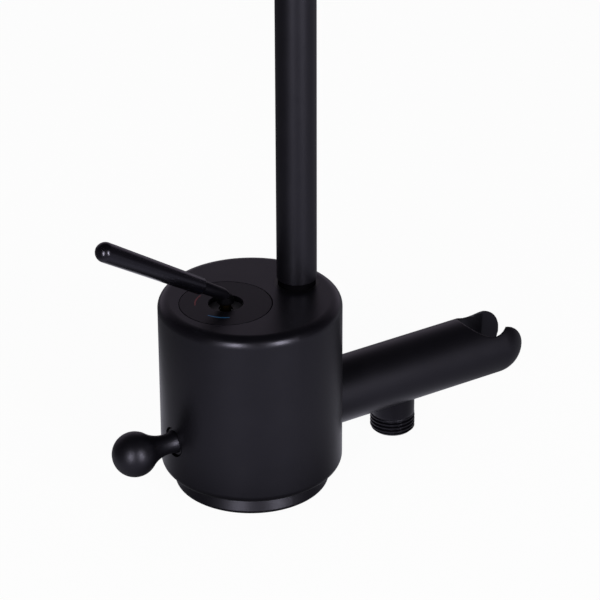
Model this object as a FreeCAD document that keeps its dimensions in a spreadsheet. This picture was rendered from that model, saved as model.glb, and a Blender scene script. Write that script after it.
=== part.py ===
import FreeCAD, Part
import math
import os
import re
import Sketcher

# Bath mixer tap with a swivel gooseneck spout, a pull diverter and a handset arm.
# Millimetres. +Z is up and the foot stands on z = 0.
# The user stands on the -Y side and the handset arm points to +Y.

# Driving dimensions
SIZES = {
    # Body and foot
    "body_radius": 41,
    "body_bottom": 8.7,
    "body_top": 91.5,
    "body_top_round": 4.7,
    "body_bottom_round": 3.6,
    "shell_wall": 5,
    "shell_roof": 6,
    "foot_inset": 6,
    "foot_width": 13,
    "foot_edge_round": 1,
    "foot_rim": 1.5,
    "foot_taper": 2.4,
    "plate_thickness": 4,
    "plate_rim": 1,
    "plate_rim_height": 3,
    "gasket_inset": 1,
    "gasket_width": 2,
    "gasket_thickness": 1.6,
    "fixing_inset": 6.8,
    "fixing_tap_radius": 2.1,
    "screw_inset": 5.6,
    "screw_radius": 2,
    "screw_head_radius": 3.5,
    "screw_head_height": 4.1,
    "screw_head_inset": 0.5,
    "screw_reach": 9.5,
    "screw_key_radius": 1.7,
    "screw_key_depth": 2,
    # Clearances
    "fit_gap": 0.05,
    "slip_gap": 0.1,
    "run_gap": 0.08,
    "loose_gap": 0.3,
    "overcut": 1,
    # Places of the main axes
    "port_height": 29.7,
    # Cover disc and its marks
    "disc_share": 0.5,
    "disc_thickness": 2.5,
    "disc_edge_round": 0.25,
    "lever_hole_radius": 7.8,
    "disc_lip": 1.6,
    "disc_spigot_wall": 3.4,
    "disc_spigot_length": 3.2,
    "disc_ring_groove": 1.1,
    "disc_ring_lift": 0.8,
    "mark_inset": 7,
    "mark_width": 0.7,
    "mark_depth": 0.4,
    "mark_span": 42,
    "mark_angle": 45,
    # Valve block
    "block_gap": 0.6,
    "block_lap": 2,
    "well_web": 1.2,
    "well_wall": 3,
    "well_inset": 0.95,
    "well_gap": 1.5,
    "nut_height": 6,
    "nut_radius": 18.9,
    "notch_width": 3,
    "notch_depth": 1.5,
    "inlet_spread": 11.5,
    "inlet_shift": 3,
    "inlet_radius": 3.2,
    "inlet_thread_radius": 4.46,
    "inlet_thread_depth": 12,
    "filter_seat_radius": 4,
    "filter_thickness": 1.2,
    "filter_hole_radius": 0.6,
    "mixed_spread": 3.5,
    "mixed_shift": 8.5,
    "mixed_radius": 3,
    "channel_spread": 3.8,
    "channel_radius": 2.5,
    "riser_radius": 2.4,
    "socket_radius": 9.6,
    "socket_tower_radius": 11.2,
    "chamber_radius": 7,
    "chamber_end": 0.5,
    "seat_radius": 4.5,
    "arm_sink": 11,
    # Cartridge
    "cartridge_radius": 17.5,
    "cartridge_lift": 0.5,
    "cartridge_base_height": 4.5,
    "port_seal_radius": 4.2,
    "port_seal_depth": 1,
    "ceramic_radius": 16.2,
    "ceramic_thickness": 3,
    "slider_radius": 12,
    "slider_thickness": 3.4,
    "slider_pocket_radius": 6,
    "slider_pocket_depth": 1.8,
    "carrier_thickness": 3,
    "carrier_gap": 0.55,
    "housing_bore": 16.8,
    "shoulder_drop": 10.8,
    "neck_wall": 1,
    "rotor_radius": 12.5,
    "rotor_flange_radius": 15.5,
    "rotor_flange_height": 2,
    "rotor_boss_radius": 9,
    "rotor_boss_lift": 0.6,
    "shield_drop": 0.2,
    "shield_thickness": 0.8,
    "shield_radius": 12,
    "shield_hole_radius": 3.2,
    "pivot_depth": 11.5,
    "pin_radius": 1.45,
    "pin_length": 22,
    "spindle_radius": 2.5,
    "spindle_thread_radius": 1.9,
    "spindle_thread_length": 2.2,
    "spindle_neck_radius": 1.6,
    "spindle_ball_radius": 2.4,
    "spindle_slot_front": 7.6,
    "spindle_slot_back": 6.2,
    # Lever
    "hub_radius": 3.15,
    "hub_lift": 1.2,
    "hub_height": 2.5,
    "bend_radius": 5.2,
    "elbow_radius": 2.75,
    "lever_rise": 32.2,
    "crossing_lift": 4.1,
    "lever_joint": 14.8,
    "lever_reach": 69.6,
    "lever_joint_radius": 3.0,
    "lever_end_radius": 4.5,
    "lever_stud_radius": 1.8,
    "lever_stud_length": 7,
    "lever_joint_line": 0.15,
    # Spout
    "spout_radius": 9,
    "spout_wall": 1.2,
    "spout_lift": 2.6,
    "spout_straight_top": 262,
    "spout_bend": 95,
    "spout_drop": 24,
    "spout_hole_radius": 9.9,
    "spout_hole_edge": 0.4,
    "spout_hole_depth": 2.6,
    "bush_radius": 10.9,
    "adapter_lift": 5.3,
    "adapter_radius": 9.5,
    "adapter_bore": 6,
    "adapter_spigot_length": 14,
    "spout_ring_groove_radius": 7.9,
    "spout_ring_lift": 3,
    "spout_ring_step": 4,
    "spout_ring_width": 2,
    "snap_step": 3.4,
    "snap_width": 1.4,
    "snap_inner_radius": 8.8,
    "snap_outer_radius": 10.2,
    "snap_groove_radius": 8.5,
    "snap_opening": 4,
    "aerator_wall": 0.9,
    "aerator_length": 10,
    "aerator_inset": 0.4,
    "aerator_insert_length": 7,
    "aerator_hole_radius": 0.75,
    "aerator_hole_pitch": 2.1,
    "aerator_washer_thickness": 1.5,
    # Diverter
    "diverter_hole_radius": 7,
    "bonnet_radius": 9.95,
    "bonnet_shoulder": 22,
    "bonnet_seal_thickness": 1.2,
    "bonnet_gap": 2.1,
    "sleeve_radius": 6.9,
    "sleeve_end": 16.3,
    "sleeve_bore": 4.8,
    "guide_length": 8.9,
    "sleeve_groove_radius": 5.8,
    "sleeve_groove_back": 17.5,
    "sleeve_groove_front": 21.3,
    "sleeve_port_radius": 1.6,
    "stem_radius": 3,
    "stem_tail_radius": 1.95,
    "stem_tail_end": 1.1,
    "stem_ring_inset": 4.9,
    "stem_ring_width": 1.8,
    "stem_ring_groove_radius": 4.6,
    "piston_radius": 6.2,
    "piston_back": 3.2,
    "piston_front": 7.2,
    "washer_radius": 5.9,
    "washer_front": 9.2,
    "diverter_spring_radius": 3.95,
    "diverter_spring_wire": 0.35,
    "diverter_spring_pitch": 2.2,
    "knob_stand_off": 19.5,
    "knob_radius": 10.2,
    "knob_neck_curve": 15.5,
    "knob_waist": 16,
    "knob_neck_end": 20.8,
    "knob_socket_depth": 5.6,
    # Handset arm
    "arm_radius": 15,
    "arm_end": 132.2,
    "arm_bore": 4.5,
    "outlet_way_radius": 4,
    "holder_distance": 127.2,
    "holder_top_radius": 11.65,
    "holder_bottom_radius": 10.75,
    "holder_slot_half": 9.2,
    "nipple_radius": 7,
    "nipple_reach": 12,
    "arm_seal_inner": 8.5,
    "arm_seal_outer": 11.5,
    "arm_seal_thickness": 1.2,
    # Hose outlet and check valve
    "outlet_distance": 77,
    "outlet_bottom": 0.8,
    "outlet_radius": 10.4,
    "outlet_neck_radius": 10.2,
    "outlet_sink": 5.3,
    "outlet_spigot_length": 5.5,
    "outlet_spigot_radius": 7.4,
    "outlet_bore": 7,
    "outlet_roof": 3.5,
    "outlet_edge": 0.6,
    "thread_pitch": 1.814,
    "thread_depth": 1.0,
    "thread_crest": 0.1,
    "thread_root": 0.12,
    "thread_turns": 4.5,
    "outlet_seal_outer": 9.5,
    "outlet_seal_thickness": 1.1,
    "check_radius": 6.9,
    "check_bottom": 4.5,
    "check_floor": 1.5,
    "check_bore": 5.6,
    "check_seat_radius": 3.5,
    "check_roof": 1.5,
    "check_port_radius": 1.3,
    "check_port_circle": 3.6,
    "poppet_radius": 4.6,
    "poppet_head": 1.9,
    "poppet_stem_radius": 1.2,
    "poppet_stem_end": 3.6,
    "check_spring_radius": 2.6,
    "check_spring_wire": 0.25,
    "check_spring_pitch": 1.6,
}

# Places and radii worked out from the driving dimensions
DERIVED = {
    "foot_radius": "body_radius - foot_inset",
    "foot_bore": "foot_radius - foot_width",
    "fixing_circle": "foot_radius - fixing_inset",
    "screw_circle": "foot_radius - screw_inset",
    "block_radius": "body_radius - shell_wall - block_gap",
    "well_radius": "nut_radius + fit_gap + well_wall",
    "lever_offset": "block_radius - well_radius - well_inset",
    "spout_offset": "body_radius - shell_wall - loose_gap - socket_tower_radius",
    "disc_radius": "body_radius * disc_share",
    "disc_spigot_radius": "disc_radius - disc_lip",
    "mark_radius": "disc_radius - mark_inset",
    "well_floor": "cartridge_bottom - cartridge_lift",
    "channel_height": "well_floor - well_web - channel_radius",
    "socket_floor": "channel_height - channel_radius - slip_gap",
    "block_top": "well_floor + block_lap",
    "block_bottom": "body_bottom + plate_thickness",
    "well_top": "body_top - shell_roof - well_gap",
    "nut_bottom": "well_top - nut_height",
    "riser_distance": "(sleeve_groove_back + sleeve_groove_front) / 2",
    "rotor_bottom": "housing_shoulder - 2 * slip_gap - rotor_flange_height",
    "carrier_bottom": "rotor_bottom - carrier_gap - carrier_thickness",
    "slider_bottom": "carrier_bottom - slider_thickness",
    "ceramic_bottom": "slider_bottom - fit_gap - ceramic_thickness",
    "cartridge_bottom": "ceramic_bottom - cartridge_base_height",
    "rotor_bore": "rotor_radius + slip_gap",
    "rotor_boss_bottom": "well_top + rotor_boss_lift",
    "pivot_height": "body_top - pivot_depth",
    "housing_shoulder": "pivot_height - shoulder_drop",
    "shield_bottom": "body_top - disc_thickness - shield_drop - shield_thickness",
    "spindle_ball_height": "carrier_bottom + spindle_ball_radius + slip_gap",
    "hub_bottom": "body_top + hub_lift",
    "lever_crossing": "body_top + crossing_lift",
    "bend_tangent": "bend_radius * tan((90 - lever_rise) / 2)",
    "spout_bore": "spout_radius - spout_wall - fit_gap",
    "adapter_bottom": "socket_floor + adapter_lift",
    "spout_ring_low": "adapter_bottom + spout_ring_lift",
    "spout_ring_high": "spout_ring_low + spout_ring_step",
    "snap_height": "spout_ring_high + snap_step",
    "spout_bottom": "snap_height + spout_lift",
    "bonnet_front": "body_radius - shell_wall - bonnet_gap",
    "sleeve_bore_front": "bonnet_front - guide_length",
    "stem_ring_back": "bonnet_front - stem_ring_inset",
    "knob_distance": "body_radius + knob_stand_off",
    "stem_front": "knob_distance - knob_neck_end + knob_socket_depth - loose_gap",
    "arm_face": "body_radius - arm_sink",
    "arm_low": "port_height - arm_radius",
    "outlet_shoulder": "arm_low + outlet_sink",
    "outlet_top": "outlet_shoulder + outlet_spigot_length",
    "outlet_bore_top": "outlet_shoulder - outlet_roof",
    "nipple_back": "arm_face - nipple_reach",
    "nipple_end": "arm_face + nipple_reach",
    "check_top": "outlet_bore_top - 2 * slip_gap",
    "poppet_top": "check_top - check_roof - slip_gap",
    "thread_top": "outlet_bottom + thread_pitch * (thread_turns + 1 / 2)",
}

SCREW_ANGLES = (0, 120, 240)
FIXING_ANGLES = (60, 180, 300)
PORT_ANGLES = (45, 135, 225, 315)
FILTER_HOLE_ANGLES = (0, 60, 120, 180, 240, 300)
HEX_SIDES = 6
AERATOR_RINGS = 3

# Where an outline starts before its constraints pull it into place
ROUGH_PLACE = 9
# Two lengths closer than this count as equal
NEAR = 1e-3

UP = FreeCAD.Rotation()
FRONT = FreeCAD.Rotation(FreeCAD.Vector(1, 0, 0), 90)
BACK = FreeCAD.Rotation(FreeCAD.Vector(1, 0, 0), -90)
RIGHT = FreeCAD.Rotation(FreeCAD.Vector(0, 1, 0), 90)

doc = FreeCAD.newDocument("bath_mixer_tap")
pieces = []


# Spreadsheet
def write_sheet():
    """Writes every driving dimension to a cell with its name as alias."""
    sheet = doc.addObject("Spreadsheet::Sheet", "dims")
    for row, (alias, value) in enumerate(SIZES.items(), start=1):
        sheet.set(f"A{row}", alias)
        sheet.set(f"B{row}", str(value))
        sheet.setAlias(f"B{row}", alias)
    doc.recompute()
    return sheet


dims = write_sheet()


def size(name):
    """The present value of a driving or worked-out dimension."""
    return float(dims.evalExpression(formula(name)))


def reference(word):
    """What one word of a formula stands for: a cell of the sheet, a worked-out place or itself."""
    name = word.group()
    if name in DERIVED:
        return "(" + formula(DERIVED[name]) + ")"
    return "dims." + name if name in SIZES else name


def formula(text):
    """Turns plain names into references to the sheet: body_top becomes dims.body_top."""
    return re.sub(r"[a-z_]+", reference, text)


# Helpers for places and simple solids
def place(solid, x="0", y="0", z="0", along=UP):
    """Turns a solid's own Z axis to the wanted direction and binds its place to the sheet."""
    solid.Placement = FreeCAD.Placement(FreeCAD.Vector(), along)
    for axis, text in (("x", x), ("y", y), ("z", z)):
        if text != "0":
            solid.setExpression(f"Placement.Base.{axis}", formula(text))
    return solid


def cylinder(name, radius, length, x="0", y="0", z="0", along=UP):
    """A cylinder that starts at the given point."""
    solid = doc.addObject("Part::Cylinder", name)
    solid.setExpression("Radius", formula(radius))
    solid.setExpression("Height", formula(length))
    return place(solid, x, y, z, along)


def cone(name, start_radius, end_radius, length, x="0", y="0", z="0", along=UP):
    """A cone frustum that starts at the given point."""
    solid = doc.addObject("Part::Cone", name)
    solid.setExpression("Radius1", formula(start_radius))
    solid.setExpression("Radius2", formula(end_radius))
    solid.setExpression("Height", formula(length))
    return place(solid, x, y, z, along)


def sphere(name, radius, x="0", y="0", z="0"):
    """A ball around the given point."""
    solid = doc.addObject("Part::Sphere", name)
    solid.setExpression("Radius", formula(radius))
    return place(solid, x, y, z)


def box(name, length, width, height, x="0", y="0", z="0"):
    """A box that starts at the given corner."""
    solid = doc.addObject("Part::Box", name)
    solid.setExpression("Length", formula(length))
    solid.setExpression("Width", formula(width))
    solid.setExpression("Height", formula(height))
    return place(solid, x, y, z)


def o_ring(name, middle_radius, cord_radius, x="0", y="0", z="0", along=UP):
    """A round cord ring."""
    ring = doc.addObject("Part::Torus", name)
    ring.setExpression("Radius1", formula(middle_radius))
    ring.setExpression("Radius2", formula(cord_radius))
    return place(ring, x, y, z, along)


def fuse(name, solids):
    """Joins solids into one."""
    joined = doc.addObject("Part::MultiFuse", name)
    joined.Shapes = solids
    joined.Refine = True
    return joined


def cut(name, base, tools):
    """Takes one or more solids away from a base."""
    result = doc.addObject("Part::Cut", name)
    result.Base = base
    result.Tool = tools[0] if len(tools) == 1 else fuse(name + "_tools", tools)
    result.Refine = True
    return result


def group(name, solids):
    """Keeps separate solids together as one node."""
    together = doc.addObject("Part::Compound", name)
    together.Links = solids
    return together


def piece(label, solid):
    """Marks a finished sub-part, whose label names its file."""
    solid.Label = label
    pieces.append(solid)
    return solid


# Helpers for turned bodies
def plane_of(body, role):
    """One of the body's own origin planes."""
    return next(item for item in body.Origin.OriginFeatures if item.Role == role)


def pin_point(sketch, line, end, across, along):
    """Fixes one end of a sketch line at two sheet formulas, or on an axis where the formula is 0."""
    for kind, text, axis in (("DistanceX", across, -2), ("DistanceY", along, -1)):
        if text == "0":
            sketch.addConstraint(Sketcher.Constraint("PointOnObject", line, end, axis))
            continue
        index = sketch.addConstraint(Sketcher.Constraint(kind, -1, 1, line, end, 1.0 + line))
        sketch.setExpression(f"Constraints[{index}]", formula(text))


def profile_sketch(body, name, corners):
    """A closed outline of straight lines in the body's XZ plane: each corner is (radius, height)."""
    sketch = body.newObject("Sketcher::SketchObject", name)
    sketch.AttachmentSupport = [(plane_of(body, "XZ_Plane"), "")]
    sketch.MapMode = "FlatFace"
    count = len(corners)
    turn = 2 * math.pi / count
    starts = []
    for i in range(count):
        starts.append(FreeCAD.Vector(ROUGH_PLACE + math.cos(turn * i), ROUGH_PLACE + math.sin(turn * i), 0))
    for i in range(count):
        sketch.addGeometry(Part.LineSegment(starts[i], starts[(i + 1) % count]))
    for i in range(count):
        sketch.addConstraint(Sketcher.Constraint("Coincident", i, 2, (i + 1) % count, 1))
    for i, (across, along) in enumerate(corners):
        pin_point(sketch, i, 1, across, along)
    return sketch


def revolve(body, name, sketch):
    """Turns a sketch about the body's own Z axis."""
    turned_solid = body.newObject("PartDesign::Revolution", name)
    turned_solid.Profile = sketch
    turned_solid.ReferenceAxis = (sketch, ["V_Axis"])
    turned_solid.Angle = 360
    body.Tip = turned_solid
    doc.recompute()
    return turned_solid


def turned(name, corners, x="0", y="0", z="0", along=UP):
    """A turned body: the outline's corners are (radius, height) formulas."""
    body = doc.addObject("PartDesign::Body", name)
    revolve(body, name + "_turning", profile_sketch(body, name + "_outline", corners))
    return place(body, x, y, z, along)


def tube(inner, outer, low, high):
    """Outline of a plain ring."""
    return [(inner, low), (outer, low), (outer, high), (inner, high)]


def rod(radius, low, high):
    """Outline of a plain solid rod."""
    return tube("0", radius, low, high)


def round_edges(body, name, kind, radius_text, rims):
    """Rounds or chamfers the circular edges at the given (radius, height) numbers."""
    names = []
    for index, edge in enumerate(body.Tip.Shape.Edges, start=1):
        if not isinstance(edge.Curve, Part.Circle):
            continue
        centre = edge.Curve.Center
        for radius, height in rims:
            if abs(edge.Curve.Radius - radius) < NEAR and abs(centre.z - height) < NEAR:
                names.append(f"Edge{index}")
    dressing = body.newObject("PartDesign::" + kind, name)
    dressing.Base = (dressing.BaseFeature, names)
    dressing.setExpression("Radius" if kind == "Fillet" else "Size", formula(radius_text))
    body.Tip = dressing
    doc.recompute()


def lever_axis(z="0"):
    """Place keywords of something on the lever's upright axis."""
    return {"y": "-lever_offset", "z": z}


def diverter_axis():
    """Place keywords of something turned about the diverter axis, measured towards the user."""
    return {"z": "port_height", "along": FRONT}


def arm_axis():
    """Place keywords of something turned about the arm's axis, measured away from the user."""
    return {"z": "port_height", "along": BACK}


def outlet_axis():
    """Place keywords of something on the hose outlet's upright axis."""
    return {"y": "outlet_distance"}


# Body shell
def body_shell():
    """The coated cup that everything else sits in, open at the bottom."""
    inside = "body_radius - shell_wall"
    rim = inside + " + plate_rim"
    step = "body_bottom + plate_rim_height"
    body = turned("shell_cup", [
        (rim, "body_bottom"), ("body_radius", "body_bottom"), ("body_radius", "body_top"),
        ("0", "body_top"),
        ("0", "body_top - shell_roof"), (inside, "body_top - shell_roof"), (inside, step), (rim, step)])
    outer = size("body_radius")
    round_edges(body, "shell_top_round", "Fillet", "body_top_round", [(outer, size("body_top"))])
    round_edges(body, "shell_bottom_round", "Fillet", "body_bottom_round", [(outer, size("body_bottom"))])
    recess = cylinder("shell_disc_seat", "disc_radius + loose_gap", "disc_thickness + body_top",
                      **lever_axis("body_top - disc_thickness"))
    opening = cylinder("shell_disc_opening", "disc_spigot_radius + slip_gap", "body_top",
                       **lever_axis("body_top - shell_roof - overcut"))
    pipe_hole = cylinder("shell_pipe_hole", "spout_hole_radius", "body_top",
                         y="spout_offset", z="body_top - shell_roof - overcut")
    pipe_edge = cone("shell_pipe_edge", "spout_hole_radius", "spout_hole_radius + 2 * spout_hole_edge",
                     "2 * spout_hole_edge", y="spout_offset", z="body_top - spout_hole_edge")
    bush_seat = cylinder("shell_bush_seat", "bush_radius + slip_gap",
                         "shell_roof + overcut - spout_hole_depth",
                         y="spout_offset", z="body_top - shell_roof - overcut")
    knob_hole = cylinder("shell_knob_hole", "diverter_hole_radius", "2 * body_radius", **diverter_axis())
    arm_hole = cylinder("shell_arm_hole", "arm_radius + slip_gap", "2 * body_radius", **arm_axis())
    tools = [recess, opening, pipe_hole, pipe_edge, bush_seat, knob_hole, arm_hole]
    piece("body_shell", cut("shell_cut", body, tools))


# Foot
def round_place(circle, angle):
    """Place formulas of one hole on a circle of that radius about the foot's axis."""
    return {"x": f"{circle} * cos({angle})", "y": f"{circle} * sin({angle})"}


def foot_ring():
    """The narrower ring with a sloping side that the body stands on, tapped for three bolts from below."""
    body = turned("foot_turning", [
        ("foot_bore", "0"), ("foot_radius", "0"), ("foot_radius", "foot_rim"),
        ("foot_radius - foot_taper", "body_bottom"), ("foot_bore", "body_bottom")])
    round_edges(body, "foot_round", "Fillet", "foot_edge_round", [(size("foot_radius"), 0)])
    groove = turned("foot_groove", tube(
        "foot_bore + gasket_inset - slip_gap", "foot_bore + gasket_inset + gasket_width + slip_gap",
        "0", "gasket_thickness + slip_gap"))
    tools = [groove]
    for angle in SCREW_ANGLES:
        spot = round_place("screw_circle", angle)
        tools.append(cylinder("foot_screw_head_hole", "screw_head_radius + loose_gap",
                              "screw_head_inset + screw_head_height", **spot))
        tools.append(cylinder("foot_screw_hole", "screw_radius + slip_gap", "2 * body_bottom", **spot))
    for angle in FIXING_ANGLES:
        tools.append(cylinder("foot_fixing_hole", "fixing_tap_radius", "2 * body_bottom",
                              **round_place("fixing_circle", angle)))
    piece("foot_ring", cut("foot_cut", body, tools))


def foot_gasket():
    """Rubber ring in the groove under the foot."""
    piece("foot_gasket", turned("gasket_turning", tube(
        "foot_bore + gasket_inset", "foot_bore + gasket_inset + gasket_width", "0", "gasket_thickness")))


def base_plate():
    """Plate that closes the cup from below and clamps the block."""
    inside = "body_radius - shell_wall - slip_gap"
    rim = inside + " + plate_rim"
    step = "body_bottom + plate_rim_height"
    body = turned("plate_turning", [("foot_bore", "body_bottom"), (rim, "body_bottom"), (rim, step),
                                    (inside, step), (inside, "block_bottom"),
                                    ("foot_bore", "block_bottom")])
    holes = []
    for angle in SCREW_ANGLES:
        holes.append(cylinder("plate_screw_hole", "screw_radius + slip_gap", "3 * body_bottom",
                              **round_place("screw_circle", angle)))
    piece("base_plate", cut("plate_cut", body, holes))


def foot_screws():
    """Three socket screws that pull foot, plate and block together."""
    screws = []
    for angle in SCREW_ANGLES:
        spot = round_place("screw_circle", angle)
        head = cylinder("screw_head", "screw_head_radius", "screw_head_height", z="screw_head_inset",
                        **spot)
        shank_length = "block_bottom + screw_reach - screw_head_inset"
        shank = cylinder("screw_shank", "screw_radius", shank_length, z="screw_head_inset", **spot)
        key = doc.addObject("Part::Prism", "screw_key")
        key.Polygon = HEX_SIDES
        key.setExpression("Circumradius", formula("screw_key_radius"))
        key.setExpression("Height", formula("screw_key_depth"))
        place(key, z="screw_head_inset", **spot)
        screws.append(cut("screw_cut", fuse("screw_blank", [head, shank]), [key]))
    piece("foot_screws", group("screw_group", screws))


# Valve block
def inlet_place(side):
    """Place formulas of the hot (-1) or cold (1) water way."""
    return {"x": f"{side} * inlet_spread", "y": "inlet_shift - lever_offset"}


def mixed_place():
    """Place formulas of the mixed water way."""
    return {"x": "-mixed_spread", "y": "mixed_shift - lever_offset"}


def valve_block():
    """Brass block with the cartridge well, the spout socket, the diverter chamber and all water ways."""
    bottom = "block_bottom"
    core = cylinder("block_core", "block_radius", "block_top - block_bottom", z=bottom)
    well = cylinder("block_well", "well_radius", "well_top - well_floor",
                    **lever_axis("well_floor"))
    tower = cylinder("block_tower", "socket_tower_radius", "well_top - well_floor",
                     y="spout_offset", z="well_floor")
    blank = fuse("block_blank", [core, well, tower])
    tools = [
        cylinder("well_bore", "cartridge_radius + slip_gap", "well_top", **lever_axis("well_floor")),
        cylinder("nut_bore", "nut_radius + fit_gap", "well_top", **lever_axis("nut_bottom")),
        cylinder("socket_bore", "socket_radius", "well_top", y="spout_offset", z="socket_floor"),
        cylinder("snap_groove", "snap_outer_radius + slip_gap", "snap_width + 2 * slip_gap",
                 y="spout_offset", z="snap_height - snap_width / 2 - slip_gap"),
        cylinder("chamber_bore", "chamber_radius", "body_radius", y="-chamber_end", **diverter_axis()),
        cylinder("bonnet_bore", "bonnet_radius + fit_gap", "body_radius", y="-bonnet_shoulder",
                 **diverter_axis()),
        cylinder("seat_bore", "seat_radius", "arm_face", y="-chamber_end", **arm_axis()),
        cylinder("nipple_bore", "nipple_radius + fit_gap", "body_radius", y="nipple_back - loose_gap",
                 **arm_axis()),
        cylinder("arm_spot_face", "arm_radius + loose_gap", "body_radius", y="arm_face", **arm_axis()),
        cylinder("mixed_bore", "mixed_radius", "well_floor - port_height + overcut", z="port_height",
                 **mixed_place()),
        cylinder("spout_riser", "riser_radius", "channel_height - port_height", x="channel_spread",
                 y="-riser_distance", z="port_height"),
        cylinder("spout_channel", "channel_radius", "spout_offset + riser_distance + channel_radius",
                 x="channel_spread", y="-riser_distance - channel_radius", z="channel_height", along=BACK),
    ]
    for side in (-1, 1):
        tools.append(cylinder("inlet_bore", "inlet_radius", "well_floor", z=bottom, **inlet_place(side)))
        tools.append(cylinder("inlet_thread", "inlet_thread_radius", "inlet_thread_depth", z=bottom,
                              **inlet_place(side)))
        tools.append(cylinder("filter_seat", "filter_seat_radius", "inlet_thread_depth + filter_thickness",
                              z=bottom, **inlet_place(side)))
    for angle in SCREW_ANGLES:
        tools.append(cylinder("block_screw_hole", "screw_radius + fit_gap", "screw_reach + overcut",
                              z=bottom, **round_place("screw_circle", angle)))
    piece("valve_block", cut("block_cut", blank, tools))


def inlet_filters():
    """Drilled plates pressed in above the two inlet sockets."""
    filters = []
    for side in (-1, 1):
        spot = inlet_place(side)
        low = "block_bottom + inlet_thread_depth"
        plate = cylinder("filter_plate", "filter_seat_radius - fit_gap", "filter_thickness - fit_gap",
                         z=low, **spot)
        holes = [cylinder("filter_hole", "filter_hole_radius", "2 * filter_thickness", z=low + " - fit_gap",
                          **spot)]
        for angle in FILTER_HOLE_ANGLES:
            ring = "(filter_seat_radius / 2)"
            holes.append(cylinder("filter_hole", "filter_hole_radius", "2 * filter_thickness",
                                  x=spot["x"] + f" + {ring} * cos({angle})",
                                  y=spot["y"] + f" + {ring} * sin({angle})", z=low + " - fit_gap"))
        filters.append(cut("filter_cut", plate, holes))
    piece("inlet_filters", group("filter_group", filters))


# Cover disc and marks
def mark_band(name, inner, outer, low, high, middle, spread):
    """Part of a flat ring about the lever axis, centred on a compass angle."""
    rim = cylinder(name + "_rim", outer, f"{high} - ({low})", **lever_axis(low))
    rim.setExpression("Angle", formula(spread))
    hollow = cylinder(name + "_hollow", inner, "body_top", **lever_axis("body_top / 2"))
    half = size("mark_span") / 2
    turn = FreeCAD.Rotation(FreeCAD.Vector(0, 0, 1), middle - half)
    rim.Placement = FreeCAD.Placement(rim.Placement.Base, turn)
    return cut(name, rim, [hollow])


def mark_sides():
    """The two marks: hot to the user's left, cold to the right, either side of the lever."""
    towards_user = -90
    turn = size("mark_angle")
    return (("hot_mark", towards_user - turn), ("cold_mark", towards_user + turn))


def cover_disc():
    """Flush disc round the lever, with a spigot for its ring and two grooves for the marks."""
    underside = "body_top - disc_thickness"
    bottom = underside + " - disc_spigot_length"
    groove_low = bottom + " + disc_ring_lift"
    groove_high = groove_low + " + disc_ring_groove + slip_gap"
    groove = "disc_spigot_radius - disc_ring_groove"
    inner = "disc_spigot_radius - disc_spigot_wall"
    body = turned("disc_turning", [
        ("lever_hole_radius", underside), ("lever_hole_radius", "body_top"), ("disc_radius", "body_top"),
        ("disc_radius", underside), ("disc_spigot_radius", underside), ("disc_spigot_radius", groove_high),
        (groove, groove_high), (groove, groove_low), ("disc_spigot_radius", groove_low),
        ("disc_spigot_radius", bottom), (inner, bottom), (inner, underside)], **lever_axis())
    top = size("body_top")
    round_edges(body, "disc_round", "Fillet", "disc_edge_round",
                [(size("disc_radius"), top), (size("lever_hole_radius"), top)])
    tools = []
    for name, middle in mark_sides():
        tools.append(mark_band(name + "_groove", "mark_radius - mark_width / 2",
                               "mark_radius + mark_width / 2",
                               "body_top - mark_depth", "body_top + overcut", middle, "mark_span"))
    piece("cover_disc", cut("disc_cut", body, tools))


def disc_o_ring():
    """Cord ring that holds the cover disc in its seat."""
    low = "body_top - disc_thickness - disc_spigot_length + disc_ring_lift + fit_gap"
    piece("disc_o_ring", o_ring(
        "disc_ring_cord", "disc_spigot_radius + slip_gap / 2 - disc_ring_groove / 2",
        "disc_ring_groove / 2", **lever_axis(low + " + disc_ring_groove / 2")))


def marks():
    """Hot and cold marks set into the cover disc."""
    for name, middle in mark_sides():
        band = mark_band(name + "_band", "mark_radius - mark_width / 2 + fit_gap",
                         "mark_radius + mark_width / 2 - fit_gap",
                         "body_top - mark_depth", "body_top", middle, "mark_span")
        piece(name, band)


# Cartridge
def cartridge_nut():
    """Ring nut that clamps the cartridge, with a cross of key notches."""
    body = turned("nut_turning", tube("rotor_bore + neck_wall + slip_gap", "nut_radius",
                                      "nut_bottom", "well_top"), **lever_axis())
    low = "well_top - notch_depth"
    across = box("nut_notch_across", "4 * nut_radius", "notch_width", "2 * notch_depth",
                 x="-2 * nut_radius", y="-lever_offset - notch_width / 2", z=low)
    along = box("nut_notch_along", "notch_width", "4 * nut_radius", "2 * notch_depth",
                x="-notch_width / 2", y="-lever_offset - 2 * nut_radius", z=low)
    piece("cartridge_nut", cut("nut_cut", body, [across, along]))


def cartridge_housing():
    """Stepped sleeve round the discs and the rotor."""
    low = "ceramic_bottom"
    neck = "rotor_bore + neck_wall"
    piece("cartridge_housing", turned("housing_turning", [
        ("housing_bore", low), ("cartridge_radius", low), ("cartridge_radius", "nut_bottom"),
        (neck, "nut_bottom"),
        (neck, "well_top"), ("rotor_bore", "well_top"), ("rotor_bore", "housing_shoulder"),
        ("housing_bore", "housing_shoulder")], **lever_axis()))


def water_ways(name, low, length):
    """Cylinders of the three water ways through the cartridge's lower pieces."""
    ways = [cylinder(name + "_mixed", "mixed_radius", length, z=low, **mixed_place())]
    for side in (-1, 1):
        ways.append(cylinder(name + "_inlet", "inlet_radius", length, z=low, **inlet_place(side)))
    return ways


def port_places():
    """Place formulas of the three ports: mixed, hot and cold."""
    return (mixed_place(), inlet_place(-1), inlet_place(1))


def cartridge_base():
    """Lower end of the cartridge with the three ports."""
    low = "cartridge_bottom"
    blank = cylinder("base_blank", "cartridge_radius", "cartridge_base_height", **lever_axis(low))
    tools = water_ways("base_way", "well_floor", "cartridge_base_height * 2")
    for spot in port_places():
        tools.append(cylinder("base_seal_seat", "port_seal_radius + fit_gap", "port_seal_depth", z=low,
                              **spot))
    piece("cartridge_base", cut("base_cut", blank, tools))


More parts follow.
